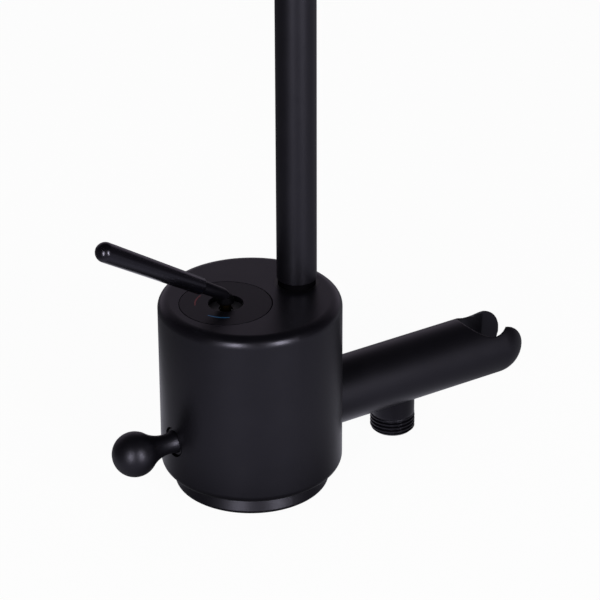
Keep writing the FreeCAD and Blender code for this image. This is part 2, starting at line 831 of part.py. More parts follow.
def cartridge_seals():
    """Three sleeve seals between the block and the cartridge ports."""
    seals = []
    for spot in port_places():
        seals.append(turned("port_seal",
                            tube("inlet_radius", "port_seal_radius", "0",
                                 "port_seal_depth + cartridge_lift"),
                            z="well_floor", **spot))
    piece("cartridge_seals", group("seal_group", seals))


def fixed_ceramic_disc():
    """Ceramic disc with the three ports, which stays put."""
    blank = cylinder("fixed_disc_blank", "ceramic_radius", "ceramic_thickness",
                     **lever_axis("ceramic_bottom"))
    piece("fixed_ceramic_disc", cut("fixed_disc_cut", blank,
                                    water_ways("disc_way", "well_floor", "well_floor")))


def moving_ceramic_disc():
    """Ceramic disc with the mixing pocket, which the lever slides and turns."""
    spot = lever_axis("slider_bottom")
    blank = cylinder("slider_blank", "slider_radius", "slider_thickness", **spot)
    pocket = cylinder("slider_pocket", "slider_pocket_radius", "slider_pocket_depth", **spot)
    piece("moving_ceramic_disc", cut("slider_cut", blank, [pocket]))


def disc_carrier():
    """Ring on the moving disc that takes the spindle's ball."""
    piece("disc_carrier", turned("carrier_turning", tube(
        "spindle_ball_radius + 2 * slip_gap", "slider_radius", "carrier_bottom",
        "carrier_bottom + carrier_thickness"),
        **lever_axis()))


def cartridge_rotor():
    """Turning piece that carries the spindle in a slot."""
    flange_top = "housing_shoulder - 2 * slip_gap"
    top = "shield_bottom - slip_gap"
    body = turned("rotor_turning", [
        ("0", "rotor_bottom"), ("rotor_flange_radius", "rotor_bottom"), ("rotor_flange_radius", flange_top),
        ("rotor_radius", flange_top),
        ("rotor_radius", "rotor_boss_bottom"), ("rotor_boss_radius", "rotor_boss_bottom"),
        ("rotor_boss_radius", top), ("0", top)], **lever_axis())
    slot = box("rotor_slot", "2 * (spindle_radius + loose_gap)", "spindle_slot_front + spindle_slot_back",
               "body_top",
               x="-spindle_radius - loose_gap", y="-lever_offset - spindle_slot_front", z="block_top")
    pin_hole = cylinder("rotor_pin_hole", "pin_radius + fit_gap", "4 * rotor_radius", x="-2 * rotor_radius",
                        along=RIGHT, **lever_axis("pivot_height"))
    piece("cartridge_rotor", cut("rotor_cut", body, [slot, pin_hole]))


def spindle_pin():
    """Pin across the rotor that the spindle tips on."""
    piece("spindle_pin", cylinder("pin_rod", "pin_radius", "pin_length", x="-pin_length / 2", along=RIGHT,
                                  **lever_axis("pivot_height")))


def stem_shield():
    """Thin washer that slides with the spindle and closes the hole in the cover disc."""
    piece("stem_shield", turned("shield_turning", tube(
        "shield_hole_radius", "shield_radius", "shield_bottom", "shield_bottom + shield_thickness"),
        **lever_axis()))


# Lever
def lever_spindle():
    """Brass spindle with a ball below and a thread above."""
    body = turned("spindle_turning", [
        ("0", "spindle_ball_height"), ("spindle_neck_radius", "spindle_ball_height"),
        ("spindle_neck_radius", "spindle_ball_height + 2 * spindle_ball_radius"),
        ("spindle_radius", "spindle_ball_height + 3 * spindle_ball_radius"),
        ("spindle_radius", "hub_bottom"), ("spindle_thread_radius", "hub_bottom"),
        ("spindle_thread_radius", "hub_bottom + spindle_thread_length"),
        ("0", "hub_bottom + spindle_thread_length")], **lever_axis())
    ball = sphere("spindle_ball", "spindle_ball_radius", **lever_axis("spindle_ball_height"))
    hole = cylinder("spindle_pin_hole", "pin_radius + run_gap", "8 * spindle_radius",
                    x="-4 * spindle_radius", along=RIGHT, **lever_axis("pivot_height"))
    piece("lever_spindle", cut("spindle_cut", fuse("spindle_blank", [body, ball]), [hole]))


def bar_direction():
    """Rotation that lays a solid's own Z axis along the lever bar, up and towards the user."""
    return FreeCAD.Rotation(FreeCAD.Vector(1, 0, 0), 90 - size("lever_rise"))


def bar_place(distance):
    """Place keywords of a point on the bar's axis, measured from where it crosses the lever axis."""
    return {"y": f"-lever_offset - ({distance}) * cos(lever_rise)",
            "z": f"lever_crossing + ({distance}) * sin(lever_rise)",
            "along": bar_direction()}


def lever_elbow():
    """Hub, bend and short arm of the lever, with a stud for the bar."""
    hub = turned("elbow_hub", rod("hub_radius", "0", "hub_height"), **lever_axis("hub_bottom"))
    round_edges(hub, "elbow_hub_round", "Fillet", "hub_height / 3",
                [(size("hub_radius"), size("hub_height"))])
    bend = doc.addObject("Part::Torus", "elbow_bend")
    bend.setExpression("Radius1", formula("bend_radius"))
    bend.setExpression("Radius2", formula("elbow_radius"))
    bend.setExpression("Angle3", formula("90 - lever_rise"))
    upright = FreeCAD.Rotation(FreeCAD.Vector(0, 1, 0), FreeCAD.Vector(0, 0, 1), FreeCAD.Vector(1, 0, 0),
                               "XYZ")
    place(bend, y="-lever_offset - bend_radius", z="lever_crossing - bend_tangent", along=upright)
    arm = cone("elbow_arm", "elbow_radius", "lever_joint_radius", "lever_joint - bend_tangent",
               **bar_place("bend_tangent"))
    stud = cylinder("elbow_stud", "lever_stud_radius", "lever_stud_length", **bar_place("lever_joint"))
    blank = fuse("elbow_blank", [hub, bend, arm, stud])
    socket = cylinder("elbow_socket", "spindle_thread_radius + fit_gap", "spindle_thread_length + fit_gap",
                      **lever_axis("hub_bottom"))
    piece("lever_elbow", cut("elbow_cut", blank, [socket]))


def lever_bar():
    """Tapered pin with a ball end, screwed on the elbow's stud."""
    start = "lever_joint + lever_joint_line"
    taper = cone("bar_taper", "lever_joint_radius", "lever_end_radius", f"lever_reach - ({start})",
                 **bar_place(start))
    end = sphere("bar_end", "lever_end_radius", y="-lever_offset - lever_reach * cos(lever_rise)",
                 z="lever_crossing + lever_reach * sin(lever_rise)")
    socket = cylinder("bar_socket", "lever_stud_radius + fit_gap", "lever_stud_length + loose_gap",
                      **bar_place("lever_joint"))
    piece("lever_bar", cut("bar_cut", fuse("bar_blank", [taper, end]), [socket]))


# Spout
def spout_tube():
    """The bent pipe: straight up, half a turn towards the user, and a short drop."""
    body = doc.addObject("PartDesign::Body", "spout_bending")
    ring = body.newObject("Sketcher::SketchObject", "spout_section")
    ring.AttachmentSupport = [(plane_of(body, "XY_Plane"), "")]
    ring.MapMode = "FlatFace"
    for index, text in enumerate(("spout_radius", "spout_radius - spout_wall")):
        rough = size("spout_radius") - index
        ring.addGeometry(Part.Circle(FreeCAD.Vector(), FreeCAD.Vector(0, 0, 1), rough))
        ring.addConstraint(Sketcher.Constraint("Coincident", index, 3, -1, 1))
        radius = ring.addConstraint(Sketcher.Constraint("Radius", index, rough))
        ring.setExpression(f"Constraints[{radius}]", formula(text))
    path = body.newObject("Sketcher::SketchObject", "spout_path")
    path.AttachmentSupport = [(plane_of(body, "YZ_Plane"), "")]
    path.MapMode = "FlatFace"
    straight = size("spout_straight_top") - size("spout_bottom")
    bend = size("spout_bend")
    drop = size("spout_drop")
    centre = FreeCAD.Vector(-bend, straight, 0)
    path.addGeometry(Part.LineSegment(FreeCAD.Vector(0, 0, 0), FreeCAD.Vector(0, straight, 0)))
    circle = Part.Circle(centre, FreeCAD.Vector(0, 0, 1), bend)
    path.addGeometry(Part.ArcOfCircle(circle, 0, math.pi))
    turned_down = FreeCAD.Vector(-2 * bend, straight, 0)
    path.addGeometry(Part.LineSegment(turned_down, turned_down - FreeCAD.Vector(0, drop, 0)))
    path.addConstraint(Sketcher.Constraint("Coincident", 0, 1, -1, 1))
    path.addConstraint(Sketcher.Constraint("Vertical", 0))
    path.addConstraint(Sketcher.Constraint("Tangent", 0, 2, 1, 1))
    path.addConstraint(Sketcher.Constraint("Tangent", 1, 2, 2, 1))
    path.addConstraint(Sketcher.Constraint("Vertical", 2))
    lengths = (("Distance", 0, straight, "spout_straight_top - spout_bottom"),
               ("Radius", 1, bend, "spout_bend"), ("Distance", 2, drop, "spout_drop"))
    for kind, geometry, value, text in lengths:
        index = path.addConstraint(Sketcher.Constraint(kind, geometry, value))
        path.setExpression(f"Constraints[{index}]", formula(text))
    doc.recompute()
    pipe = body.newObject("PartDesign::AdditivePipe", "spout_pipe")
    pipe.Profile = ring
    pipe.Spine = (path, ["Edge1", "Edge2", "Edge3"])
    body.Tip = pipe
    piece("spout_tube", place(body, y="spout_offset", z="spout_bottom"))


def spout_guide_bush():
    """Plastic bush that guides the pipe where it leaves the body."""
    piece("spout_guide_bush", turned("bush_turning", tube(
        "spout_radius + run_gap", "bush_radius", "well_top",
        "body_top - spout_hole_depth - slip_gap"),
        y="spout_offset"))


def spout_adapter():
    """Turned foot of the pipe that swivels in the block's socket."""
    corners = [("adapter_bore", "adapter_bottom"), ("adapter_radius", "adapter_bottom")]
    grooves = (("spout_ring_groove_radius", "spout_ring_low", "spout_ring_width"),
               ("spout_ring_groove_radius", "spout_ring_high", "spout_ring_width"),
               ("snap_groove_radius", "snap_height", "(snap_width + 2 * slip_gap)"))
    for depth, height, width in grooves:
        low = f"{height} - {width} / 2"
        high = f"{height} + {width} / 2"
        corners += [("adapter_radius", low), (depth, low), (depth, high), ("adapter_radius", high)]
    top = "spout_bottom + adapter_spigot_length"
    corners += [("adapter_radius", "spout_bottom - fit_gap"), ("spout_bore", "spout_bottom - fit_gap"),
                ("spout_bore", top), ("adapter_bore", top)]
    piece("spout_adapter", turned("adapter_turning", corners, y="spout_offset"))


def spout_o_rings():
    """Two cord rings that seal the adapter."""
    rings = []
    for height in ("spout_ring_low", "spout_ring_high"):
        rings.append(o_ring("spout_ring_cord", "(spout_ring_groove_radius + socket_radius) / 2",
                            "(socket_radius - spout_ring_groove_radius) / 2 - fit_gap", y="spout_offset",
                            z=height))
    piece("spout_o_rings", group("spout_ring_group", rings))


def spout_snap_ring():
    """Open ring that keeps the adapter in its socket."""
    ring = turned("snap_turning", tube("snap_inner_radius", "snap_outer_radius",
                                       "snap_height - snap_width / 2",
                                       "snap_height + snap_width / 2"), y="spout_offset")
    opening = box("snap_opening", "snap_opening", "2 * snap_outer_radius", "2 * snap_width",
                  x="-snap_opening / 2", y="spout_offset", z="snap_height - snap_width")
    piece("spout_snap_ring", cut("snap_cut", ring, [opening]))


def spout_end(lift):
    """Place keywords of something in the spout's end, a given height above its rim."""
    return {"y": "spout_offset - 2 * spout_bend", "z": f"spout_straight_top - spout_drop + ({lift})"}


def aerator_housing():
    """Sleeve in the end of the pipe."""
    piece("aerator_housing", turned("aerator_housing_turning", tube(
        "spout_bore - aerator_wall", "spout_bore", "0", "aerator_length"), **spout_end("aerator_inset")))


def aerator_insert():
    """Drilled plug that breaks the stream."""
    blank = cylinder("insert_blank", "spout_bore - aerator_wall - fit_gap", "aerator_insert_length",
                     **spout_end("2 * aerator_inset"))
    axis = spout_end("0")
    holes = []
    for across in range(-AERATOR_RINGS, AERATOR_RINGS + 1):
        for along in range(-AERATOR_RINGS, AERATOR_RINGS + 1):
            if abs(across + along) >= AERATOR_RINGS or max(abs(across), abs(along)) >= AERATOR_RINGS:
                continue
            holes.append(cylinder("insert_hole", "aerator_hole_radius", "2 * aerator_length",
                                  x=f"({across} + {along} / 2) * aerator_hole_pitch",
                                  y=axis["y"] + f" + {along} * aerator_hole_pitch * sqrt(3) / 2",
                                  z=axis["z"]))
    piece("aerator_insert", cut("insert_cut", blank, holes))


def aerator_washer():
    """Seal ring above the aerator."""
    piece("aerator_washer", turned("aerator_washer_turning", tube(
        "spout_bore - 2 * aerator_wall", "spout_bore", "0", "aerator_washer_thickness"),
        **spout_end("aerator_inset + aerator_length + fit_gap")))


# Diverter
def diverter_knob():
    """Ball on a waisted neck, screwed on the stem."""
    body = doc.addObject("PartDesign::Body", "knob_body")
    sketch = body.newObject("Sketcher::SketchObject", "knob_outline")
    sketch.AttachmentSupport = [(plane_of(body, "XZ_Plane"), "")]
    sketch.MapMode = "FlatFace"
    ball = size("knob_radius")
    curve = size("knob_neck_curve")
    waist = size("knob_waist")
    end = size("knob_neck_end")
    socket = size("stem_radius") + size("fit_gap")
    floor = end - size("knob_socket_depth")
    reach = math.sqrt((ball + curve) ** 2 - waist ** 2)
    joint = math.atan2(waist, reach)
    end_radius = reach - math.sqrt(curve ** 2 - (end - waist) ** 2)
    flat = FreeCAD.Vector(0, 0, 1)
    sphere_circle = Part.Circle(FreeCAD.Vector(), flat, ball)
    neck_circle = Part.Circle(FreeCAD.Vector(reach, waist, 0), flat, curve)
    last = math.atan2(end - waist, end_radius - reach)
    sketch.addGeometry(Part.ArcOfCircle(sphere_circle, -math.pi / 2, joint))
    sketch.addGeometry(Part.ArcOfCircle(neck_circle, last, joint + math.pi))
    points = [FreeCAD.Vector(end_radius, end, 0), FreeCAD.Vector(socket, end, 0),
              FreeCAD.Vector(socket, floor, 0),
              FreeCAD.Vector(0, floor, 0), FreeCAD.Vector(0, -ball, 0)]
    for start, stop in zip(points, points[1:]):
        sketch.addGeometry(Part.LineSegment(start, stop))
    constraints = [("Coincident", 0, 3, -1, 1), ("Tangent", 0, 2, 1, 2), ("Coincident", 1, 1, 2, 1),
                   ("Coincident", 2, 2, 3, 1), ("Coincident", 3, 2, 4, 1), ("Coincident", 4, 2, 5, 1),
                   ("Coincident", 5, 2, 0, 1), ("PointOnObject", 5, 2, -2), ("PointOnObject", 5, 1, -2),
                   ("Horizontal", 2), ("Vertical", 3), ("Horizontal", 4)]
    for entry in constraints:
        sketch.addConstraint(Sketcher.Constraint(*entry))
    driven = [(("Radius", 0, ball), "knob_radius"), (("Radius", 1, curve), "knob_neck_curve"),
              (("DistanceY", -1, 1, 1, 3, waist), "knob_waist"),
              (("DistanceY", -1, 1, 2, 2, end), "knob_neck_end"),
              (("DistanceX", -1, 1, 3, 1, socket), "stem_radius + fit_gap"),
              (("DistanceY", 3, 2, 3, 1, end - floor), "knob_socket_depth")]
    for entry, text in driven:
        index = sketch.addConstraint(Sketcher.Constraint(*entry))
        sketch.setExpression(f"Constraints[{index}]", formula(text))
    doc.recompute()
    revolve(body, "knob_turning", sketch)
    piece("diverter_knob", place(body, y="-knob_distance", **arm_axis()))


def diverter_stem():
    """Rod from the knob to the piston."""
    piece("diverter_stem", turned("stem_turning", [
        ("0", "stem_tail_end"), ("stem_tail_radius", "stem_tail_end"), ("stem_tail_radius", "washer_front"),
        ("stem_radius", "washer_front"), ("stem_radius", "stem_front"), ("0", "stem_front")],
        **diverter_axis()))


def diverter_piston():
    """Disc that moves between the two seats."""
    piece("diverter_piston", turned("piston_turning", tube(
        "stem_tail_radius + fit_gap", "piston_radius", "piston_back", "piston_front"), **diverter_axis()))


def diverter_washers():
    """Rubber washers on both sides of the piston."""
    bore = "stem_tail_radius + fit_gap"
    back = turned("back_washer", tube(bore, "washer_radius", "chamber_end + fit_gap", "piston_back"),
                  **diverter_axis())
    front = turned("front_washer", tube(bore, "washer_radius", "piston_front", "washer_front"),
                   **diverter_axis())
    piece("diverter_washers", group("washer_group", [back, front]))


def diverter_bonnet():
    """Screwed-in bonnet with a sleeve, which guides the stem and holds the spout seat."""
    guide = "stem_radius + fit_gap"
    seal_front = "bonnet_shoulder + bonnet_seal_thickness"
    ring_front = "stem_ring_back + stem_ring_width"
    body = turned("bonnet_turning", [
        ("sleeve_bore", "sleeve_end"), ("sleeve_radius", "sleeve_end"),
        ("sleeve_radius", "sleeve_groove_back"),
        ("sleeve_groove_radius", "sleeve_groove_back"), ("sleeve_groove_radius", "sleeve_groove_front"),
        ("sleeve_radius", "sleeve_groove_front"), ("sleeve_radius", seal_front),
        ("bonnet_radius", seal_front),
        ("bonnet_radius", "bonnet_front"), (guide, "bonnet_front"), (guide, ring_front),
        ("stem_ring_groove_radius", ring_front), ("stem_ring_groove_radius", "stem_ring_back"),
        (guide, "stem_ring_back"), (guide, "sleeve_bore_front"), ("sleeve_bore", "sleeve_bore_front")],
        **diverter_axis())
    upright = cylinder("bonnet_port_upright", "sleeve_port_radius", "2 * sleeve_radius",
                       y="-riser_distance", z="port_height - sleeve_radius")
    across = cylinder("bonnet_port_across", "sleeve_port_radius", "2 * sleeve_radius", x="-sleeve_radius",
                      y="-riser_distance", z="port_height", along=RIGHT)
    piece("diverter_bonnet", cut("bonnet_cut", body, [upright, across]))


def diverter_bonnet_seal():
    """Flat ring under the bonnet's shoulder."""
    piece("diverter_bonnet_seal", turned("bonnet_seal_turning", tube(
        "sleeve_radius + slip_gap", "bonnet_radius - slip_gap", "bonnet_shoulder + fit_gap",
        "bonnet_shoulder + bonnet_seal_thickness - fit_gap"), **diverter_axis()))


def diverter_stem_seal():
    """Cord ring round the stem."""
    middle = "stem_ring_back + stem_ring_width / 2"
    piece("diverter_stem_seal", o_ring(
        "stem_ring_cord", "(stem_radius + stem_ring_groove_radius) / 2",
        "(stem_ring_groove_radius - stem_radius) / 2 - fit_gap", y=f"-({middle})", **diverter_axis()))


def coil(name, radius, wire, pitch, length):
    """A round wire wound about its own Z axis, from height 0."""
    body = doc.addObject("PartDesign::Body", name)
    section = body.newObject("Sketcher::SketchObject", name + "_section")
    section.AttachmentSupport = [(plane_of(body, "XZ_Plane"), "")]
    section.MapMode = "FlatFace"
    section.addGeometry(Part.Circle(FreeCAD.Vector(ROUGH_PLACE, 0, 0), FreeCAD.Vector(0, 0, 1), 1))
    section.addConstraint(Sketcher.Constraint("PointOnObject", 0, 3, -1))
    distance = section.addConstraint(Sketcher.Constraint("DistanceX", -1, 1, 0, 3, ROUGH_PLACE))
    section.setExpression(f"Constraints[{distance}]", formula(radius))
    thickness = section.addConstraint(Sketcher.Constraint("Radius", 0, 1))
    section.setExpression(f"Constraints[{thickness}]", formula(wire))
    doc.recompute()
    winding = body.newObject("PartDesign::AdditiveHelix", name + "_winding")
    winding.Profile = section
    winding.ReferenceAxis = (section, ["V_Axis"])
    winding.Mode = 0
    winding.setExpression("Pitch", formula(pitch))
    winding.setExpression("Height", formula(length))
    body.Tip = winding
    doc.recompute()
    return body


def diverter_spring():
    """Coil spring that holds the piston on the seat of the handset's way."""
    back = "washer_front + diverter_spring_wire + fit_gap"
    length = f"sleeve_bore_front - diverter_spring_wire - fit_gap - ({back})"
    wound = coil("diverter_coil", "diverter_spring_radius", "diverter_spring_wire", "diverter_spring_pitch",
                 length)
    piece("diverter_spring", place(wound, y=f"-({back})", **diverter_axis()))


# Handset arm
def handset_arm():
    """Round arm with a ball end, holed and slotted for the handset."""
    rod_part = cylinder("arm_rod", "arm_radius", "arm_end - arm_face", y="arm_face", **arm_axis())
    end = sphere("arm_ball_end", "arm_radius", y="arm_end", z="port_height")
    blank = fuse("arm_blank", [rod_part, end])
    holder = cone("arm_holder_hole", "holder_bottom_radius", "holder_top_radius", "2 * arm_radius",
                  y="holder_distance", z="arm_low")
    slot = box("arm_holder_slot", "2 * holder_slot_half", "2 * arm_radius", "4 * arm_radius",
               x="-holder_slot_half", y="holder_distance", z="arm_low - arm_radius")
    holed = cut("arm_holder", blank, [holder, slot])
    tools = [
        cylinder("arm_socket", "nipple_radius + fit_gap", "nipple_end + loose_gap - arm_face + overcut",
                 y="arm_face - overcut", **arm_axis()),
        cylinder("arm_water_way", "arm_bore", "outlet_distance + arm_bore - arm_face", y="arm_face",
                 **arm_axis()),
        turned("arm_seal_seat", tube("arm_seal_inner - slip_gap", "arm_seal_outer + slip_gap", "arm_face",
                                     "arm_face + arm_seal_thickness"), **arm_axis()),
        cylinder("arm_outlet_seat", "outlet_neck_radius + fit_gap", "outlet_shoulder", **outlet_axis()),
        cylinder("arm_outlet_socket", "outlet_spigot_radius + fit_gap", "outlet_top + fit_gap",
                 **outlet_axis()),
        cylinder("arm_outlet_way", "outlet_way_radius", "port_height", **outlet_axis()),
    ]
    piece("handset_arm", cut("arm_cut", holed, tools))


def arm_nipple():
    """Threaded tube that joins the arm to the block."""
    piece("arm_nipple", turned("nipple_turning",
                               tube("arm_bore", "nipple_radius", "nipple_back", "nipple_end"),
                               **arm_axis()))


def arm_seal():
    """Flat ring between the arm and the block."""
    piece("arm_seal", turned("arm_seal_turning", tube(
        "arm_seal_inner", "arm_seal_outer", "arm_face", "arm_face + arm_seal_thickness - fit_gap"),
        **arm_axis()))


# Hose outlet
def hose_outlet():
    """Threaded stub under the arm."""
    seat = "outlet_shoulder - outlet_seal_thickness - slip_gap"
    body = turned("outlet_turning", [
        ("outlet_bore", "outlet_bottom"), ("outlet_radius", "outlet_bottom"),
        ("outlet_radius", "thread_top"), ("outlet_neck_radius", "thread_top"),
        ("outlet_neck_radius", "outlet_shoulder"),
        ("outlet_seal_outer + slip_gap", "outlet_shoulder"), ("outlet_seal_outer + slip_gap", seat),
        ("outlet_spigot_radius", seat), ("outlet_spigot_radius", "outlet_top"),
        ("outlet_way_radius", "outlet_top"),
        ("outlet_way_radius", "outlet_bore_top"), ("outlet_bore", "outlet_bore_top")], **outlet_axis())
    round_edges(body, "outlet_edge_cut", "Chamfer", "outlet_edge",
                [(size("outlet_radius"), size("outlet_bottom"))])
    start = "outlet_bottom - thread_pitch / 2"
    outside = "outlet_radius + slip_gap"
    root = "outlet_radius - thread_depth"
    mouth_half = "thread_pitch * (1 - thread_crest) / 2"
    root_half = "thread_pitch * thread_root / 2"
    groove = profile_sketch(body, "outlet_thread_section", [
        (outside, f"{start} - {mouth_half}"), (root, f"{start} - {root_half}"),
        (root, f"{start} + {root_half}"), (outside, f"{start} + {mouth_half}")])
    doc.recompute()
    thread = body.newObject("PartDesign::SubtractiveHelix", "outlet_thread")
    thread.Profile = groove
    thread.ReferenceAxis = (groove, ["V_Axis"])
    thread.Mode = 0
    thread.setExpression("Pitch", formula("thread_pitch"))
    thread.setExpression("Height", formula("thread_pitch * (thread_turns + 1)"))
    body.Tip = thread
    doc.recompute()
    piece("hose_outlet", body)


def hose_outlet_seal():
    """Flat ring above the stub's shoulder."""
    piece("hose_outlet_seal", turned("outlet_seal_turning", tube(
        "outlet_spigot_radius + slip_gap", "outlet_seal_outer",
        "outlet_shoulder - outlet_seal_thickness - fit_gap",
        "outlet_shoulder - fit_gap"), **outlet_axis()))


def check_valve_body():
    """Plastic cartridge that stops water from flowing back."""
    roof = "check_top - check_roof"
    floor = "check_bottom + check_floor"
    body = turned("check_turning", [
        ("poppet_stem_radius + slip_gap", "check_bottom"), ("check_radius", "check_bottom"),
        ("check_radius", "check_top"), ("check_seat_radius", "check_top"), ("check_seat_radius", roof),
        ("check_bore", roof), ("check_bore", floor), ("poppet_stem_radius + slip_gap", floor)],
        **outlet_axis())
    ports = []
    for angle in PORT_ANGLES:
        ports.append(cylinder("check_port", "check_port_radius", "2 * check_floor",
                              x=f"check_port_circle * cos({angle})",
                              y=f"outlet_distance + check_port_circle * sin({angle})",
                              z="check_bottom - check_floor / 4"))
    piece("check_valve_body", cut("check_cut", body, ports))


def check_valve_poppet():
    """Stemmed disc that shuts the check valve."""
    under = "poppet_top - poppet_head"
    piece("check_valve_poppet", turned("poppet_turning", [
        ("0", "poppet_stem_end"), ("poppet_stem_radius", "poppet_stem_end"), ("poppet_stem_radius", under),
        ("poppet_radius", under), ("poppet_radius", "poppet_top"), ("0", "poppet_top")], **outlet_axis()))


def check_valve_spring():
    """Coil spring under the poppet."""
    low = "check_bottom + check_floor + check_spring_wire + fit_gap"
    length = f"poppet_top - poppet_head - check_spring_wire - fit_gap - ({low})"
    wound = coil("check_coil", "check_spring_radius", "check_spring_wire", "check_spring_pitch", length)
    piece("check_valve_spring", place(wound, y="outlet_distance", z=low))


PIECES = (body_shell, foot_ring, foot_gasket, base_plate, foot_screws, valve_block, inlet_filters,
          cover_disc, disc_o_ring, marks, cartridge_nut, cartridge_housing, cartridge_base,
          cartridge_seals, fixed_ceramic_disc, moving_ceramic_disc, disc_carrier, cartridge_rotor,
          spindle_pin, stem_shield, lever_spindle, lever_elbow, lever_bar, spout_tube,
          spout_guide_bush, spout_adapter, spout_o_rings, spout_snap_ring, aerator_housing,
          aerator_insert, aerator_washer, diverter_knob, diverter_stem, diverter_piston,
          diverter_washers, diverter_bonnet, diverter_bonnet_seal, diverter_stem_seal,
          diverter_spring, handset_arm, arm_nipple, arm_seal, hose_outlet, hose_outlet_seal,
          check_valve_body, check_valve_poppet, check_valve_spring)


def faults():
    """Names of objects that failed, and of finished pieces whose shape is empty or not valid."""
    broken = [item.Label for item in doc.Objects if "Invalid" in item.State or "Error" in item.State]
    for solid in pieces:
        if solid.Shape.isNull() or not solid.Shape.isValid() or not solid.Shape.Solids:
            broken.append(solid.Label)
    return broken


def write_pieces():
    """Writes each finished piece to its own file."""
    os.makedirs("parts", exist_ok=True)
    for solid in pieces:
        solid.Shape.exportStep(os.path.join("parts", solid.Label + ".step"))


for make in PIECES:
    make()
doc.recompute()
broken = faults()
if broken:
    raise RuntimeError("not built: " + ", ".join(broken))
write_pieces()
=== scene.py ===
"""Matt black bath mixer tap: its visible meshes, its finishes, the studio and the camera.

Lengths in the sub-assemblies and finishes are in millimetres and turn into metres where a mesh or a
material is made. Lengths in the studio and the camera are in metres.
+Z is up, the user stands on the -Y side and the handset arm points to +Y.
"""

import logging
import math
from dataclasses import dataclass
from enum import Enum
from typing import Any, Callable, Iterable, Sequence, Union

import bmesh
import bpy
import numpy as np
from mathutils import Matrix, Vector


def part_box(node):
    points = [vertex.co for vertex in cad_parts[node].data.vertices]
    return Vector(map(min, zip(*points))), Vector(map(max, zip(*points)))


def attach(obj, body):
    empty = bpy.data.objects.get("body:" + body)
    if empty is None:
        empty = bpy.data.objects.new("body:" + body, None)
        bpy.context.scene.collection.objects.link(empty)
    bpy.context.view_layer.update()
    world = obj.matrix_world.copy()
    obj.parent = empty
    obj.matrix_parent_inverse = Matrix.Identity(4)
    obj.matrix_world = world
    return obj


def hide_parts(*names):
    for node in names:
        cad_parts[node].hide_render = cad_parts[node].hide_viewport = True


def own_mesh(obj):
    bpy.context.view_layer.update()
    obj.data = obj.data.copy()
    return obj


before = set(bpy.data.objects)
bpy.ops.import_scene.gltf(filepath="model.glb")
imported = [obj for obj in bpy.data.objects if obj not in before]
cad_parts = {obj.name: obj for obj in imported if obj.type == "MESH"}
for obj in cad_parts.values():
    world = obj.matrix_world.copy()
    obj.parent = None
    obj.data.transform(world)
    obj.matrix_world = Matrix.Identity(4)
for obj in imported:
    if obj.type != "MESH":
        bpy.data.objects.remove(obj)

LOG = logging.getLogger("bath_mixer_tap")
MM = 0.001
TURN = 2 * math.pi

Colour = tuple[float, float, float]
Flat = tuple[float, float]
Corner = tuple[float, float, float]


class Body(Enum):
    """Bodies of the frame that a piece can ride on."""

    TAP = "tap_body"
    LEVER = "lever"
    SPOUT = "spout"
    DIVERTER = "diverter"


class Joint(Enum):
    """Joints of the frame that press a spring together."""

    DIVERTER_PULL = "diverter_pull"
    CHECK_OPEN = "check_open"


class Slot(Enum):
    """Material slots of the pieces that are made here."""

    BLACK_COAT = "black_coat"
    BLACK_PLASTIC = "black_plastic"
    STEEL = "steel"


# Shader building


class Socket:
    """A shader value. Python operators on it add Math nodes."""

    def __init__(self, wiring: "Wiring", source: bpy.types.NodeSocket) -> None:
        """Keeps the node output and the wiring that new nodes go into."""
        self.wiring = wiring
        self.source = source

    def _math(self, operation: str, first: "Operand", second: "Operand") -> "Socket":
        """Adds one Math node on two values."""
        node = self.wiring.node("ShaderNodeMath", {"operation": operation}, {0: first, 1: second})
        return Socket(self.wiring, node.outputs[0])

    def __add__(self, other: "Operand") -> "Socket":
        """Returns this value plus another."""
        return self._math("ADD", self, other)

    def __radd__(self, other: "Operand") -> "Socket":
        """Returns another value plus this one."""
        return self._math("ADD", other, self)

    def __sub__(self, other: "Operand") -> "Socket":
        """Returns this value less another."""
        return self._math("SUBTRACT", self, other)

    def __rsub__(self, other: "Operand") -> "Socket":
        """Returns another value less this one."""
        return self._math("SUBTRACT", other, self)

    def __mul__(self, other: "Operand") -> "Socket":
        """Returns this value times another."""
        return self._math("MULTIPLY", self, other)

    def __rmul__(self, other: "Operand") -> "Socket":
        """Returns another value times this one."""
        return self._math("MULTIPLY", other, self)

    def ramp(self, low: float, high: float) -> "Socket":
        """Maps low..high to 0..1 with a smooth start and end."""
        node = self.wiring.node(
            "ShaderNodeMapRange",
            {"interpolation_type": "SMOOTHSTEP"},
            {"Value": self, "From Min": low, "From Max": high},
        )
        return Socket(self.wiring, node.outputs["Result"])

    def between(self, first: "Operand", second: "Operand") -> "Socket":
        """Returns first where this value is 0, second where it is 1 and a mix between."""
        return first + self * (second - first)


Operand = Union[Socket, float]
Link = Union[Socket, bpy.types.NodeSocket]


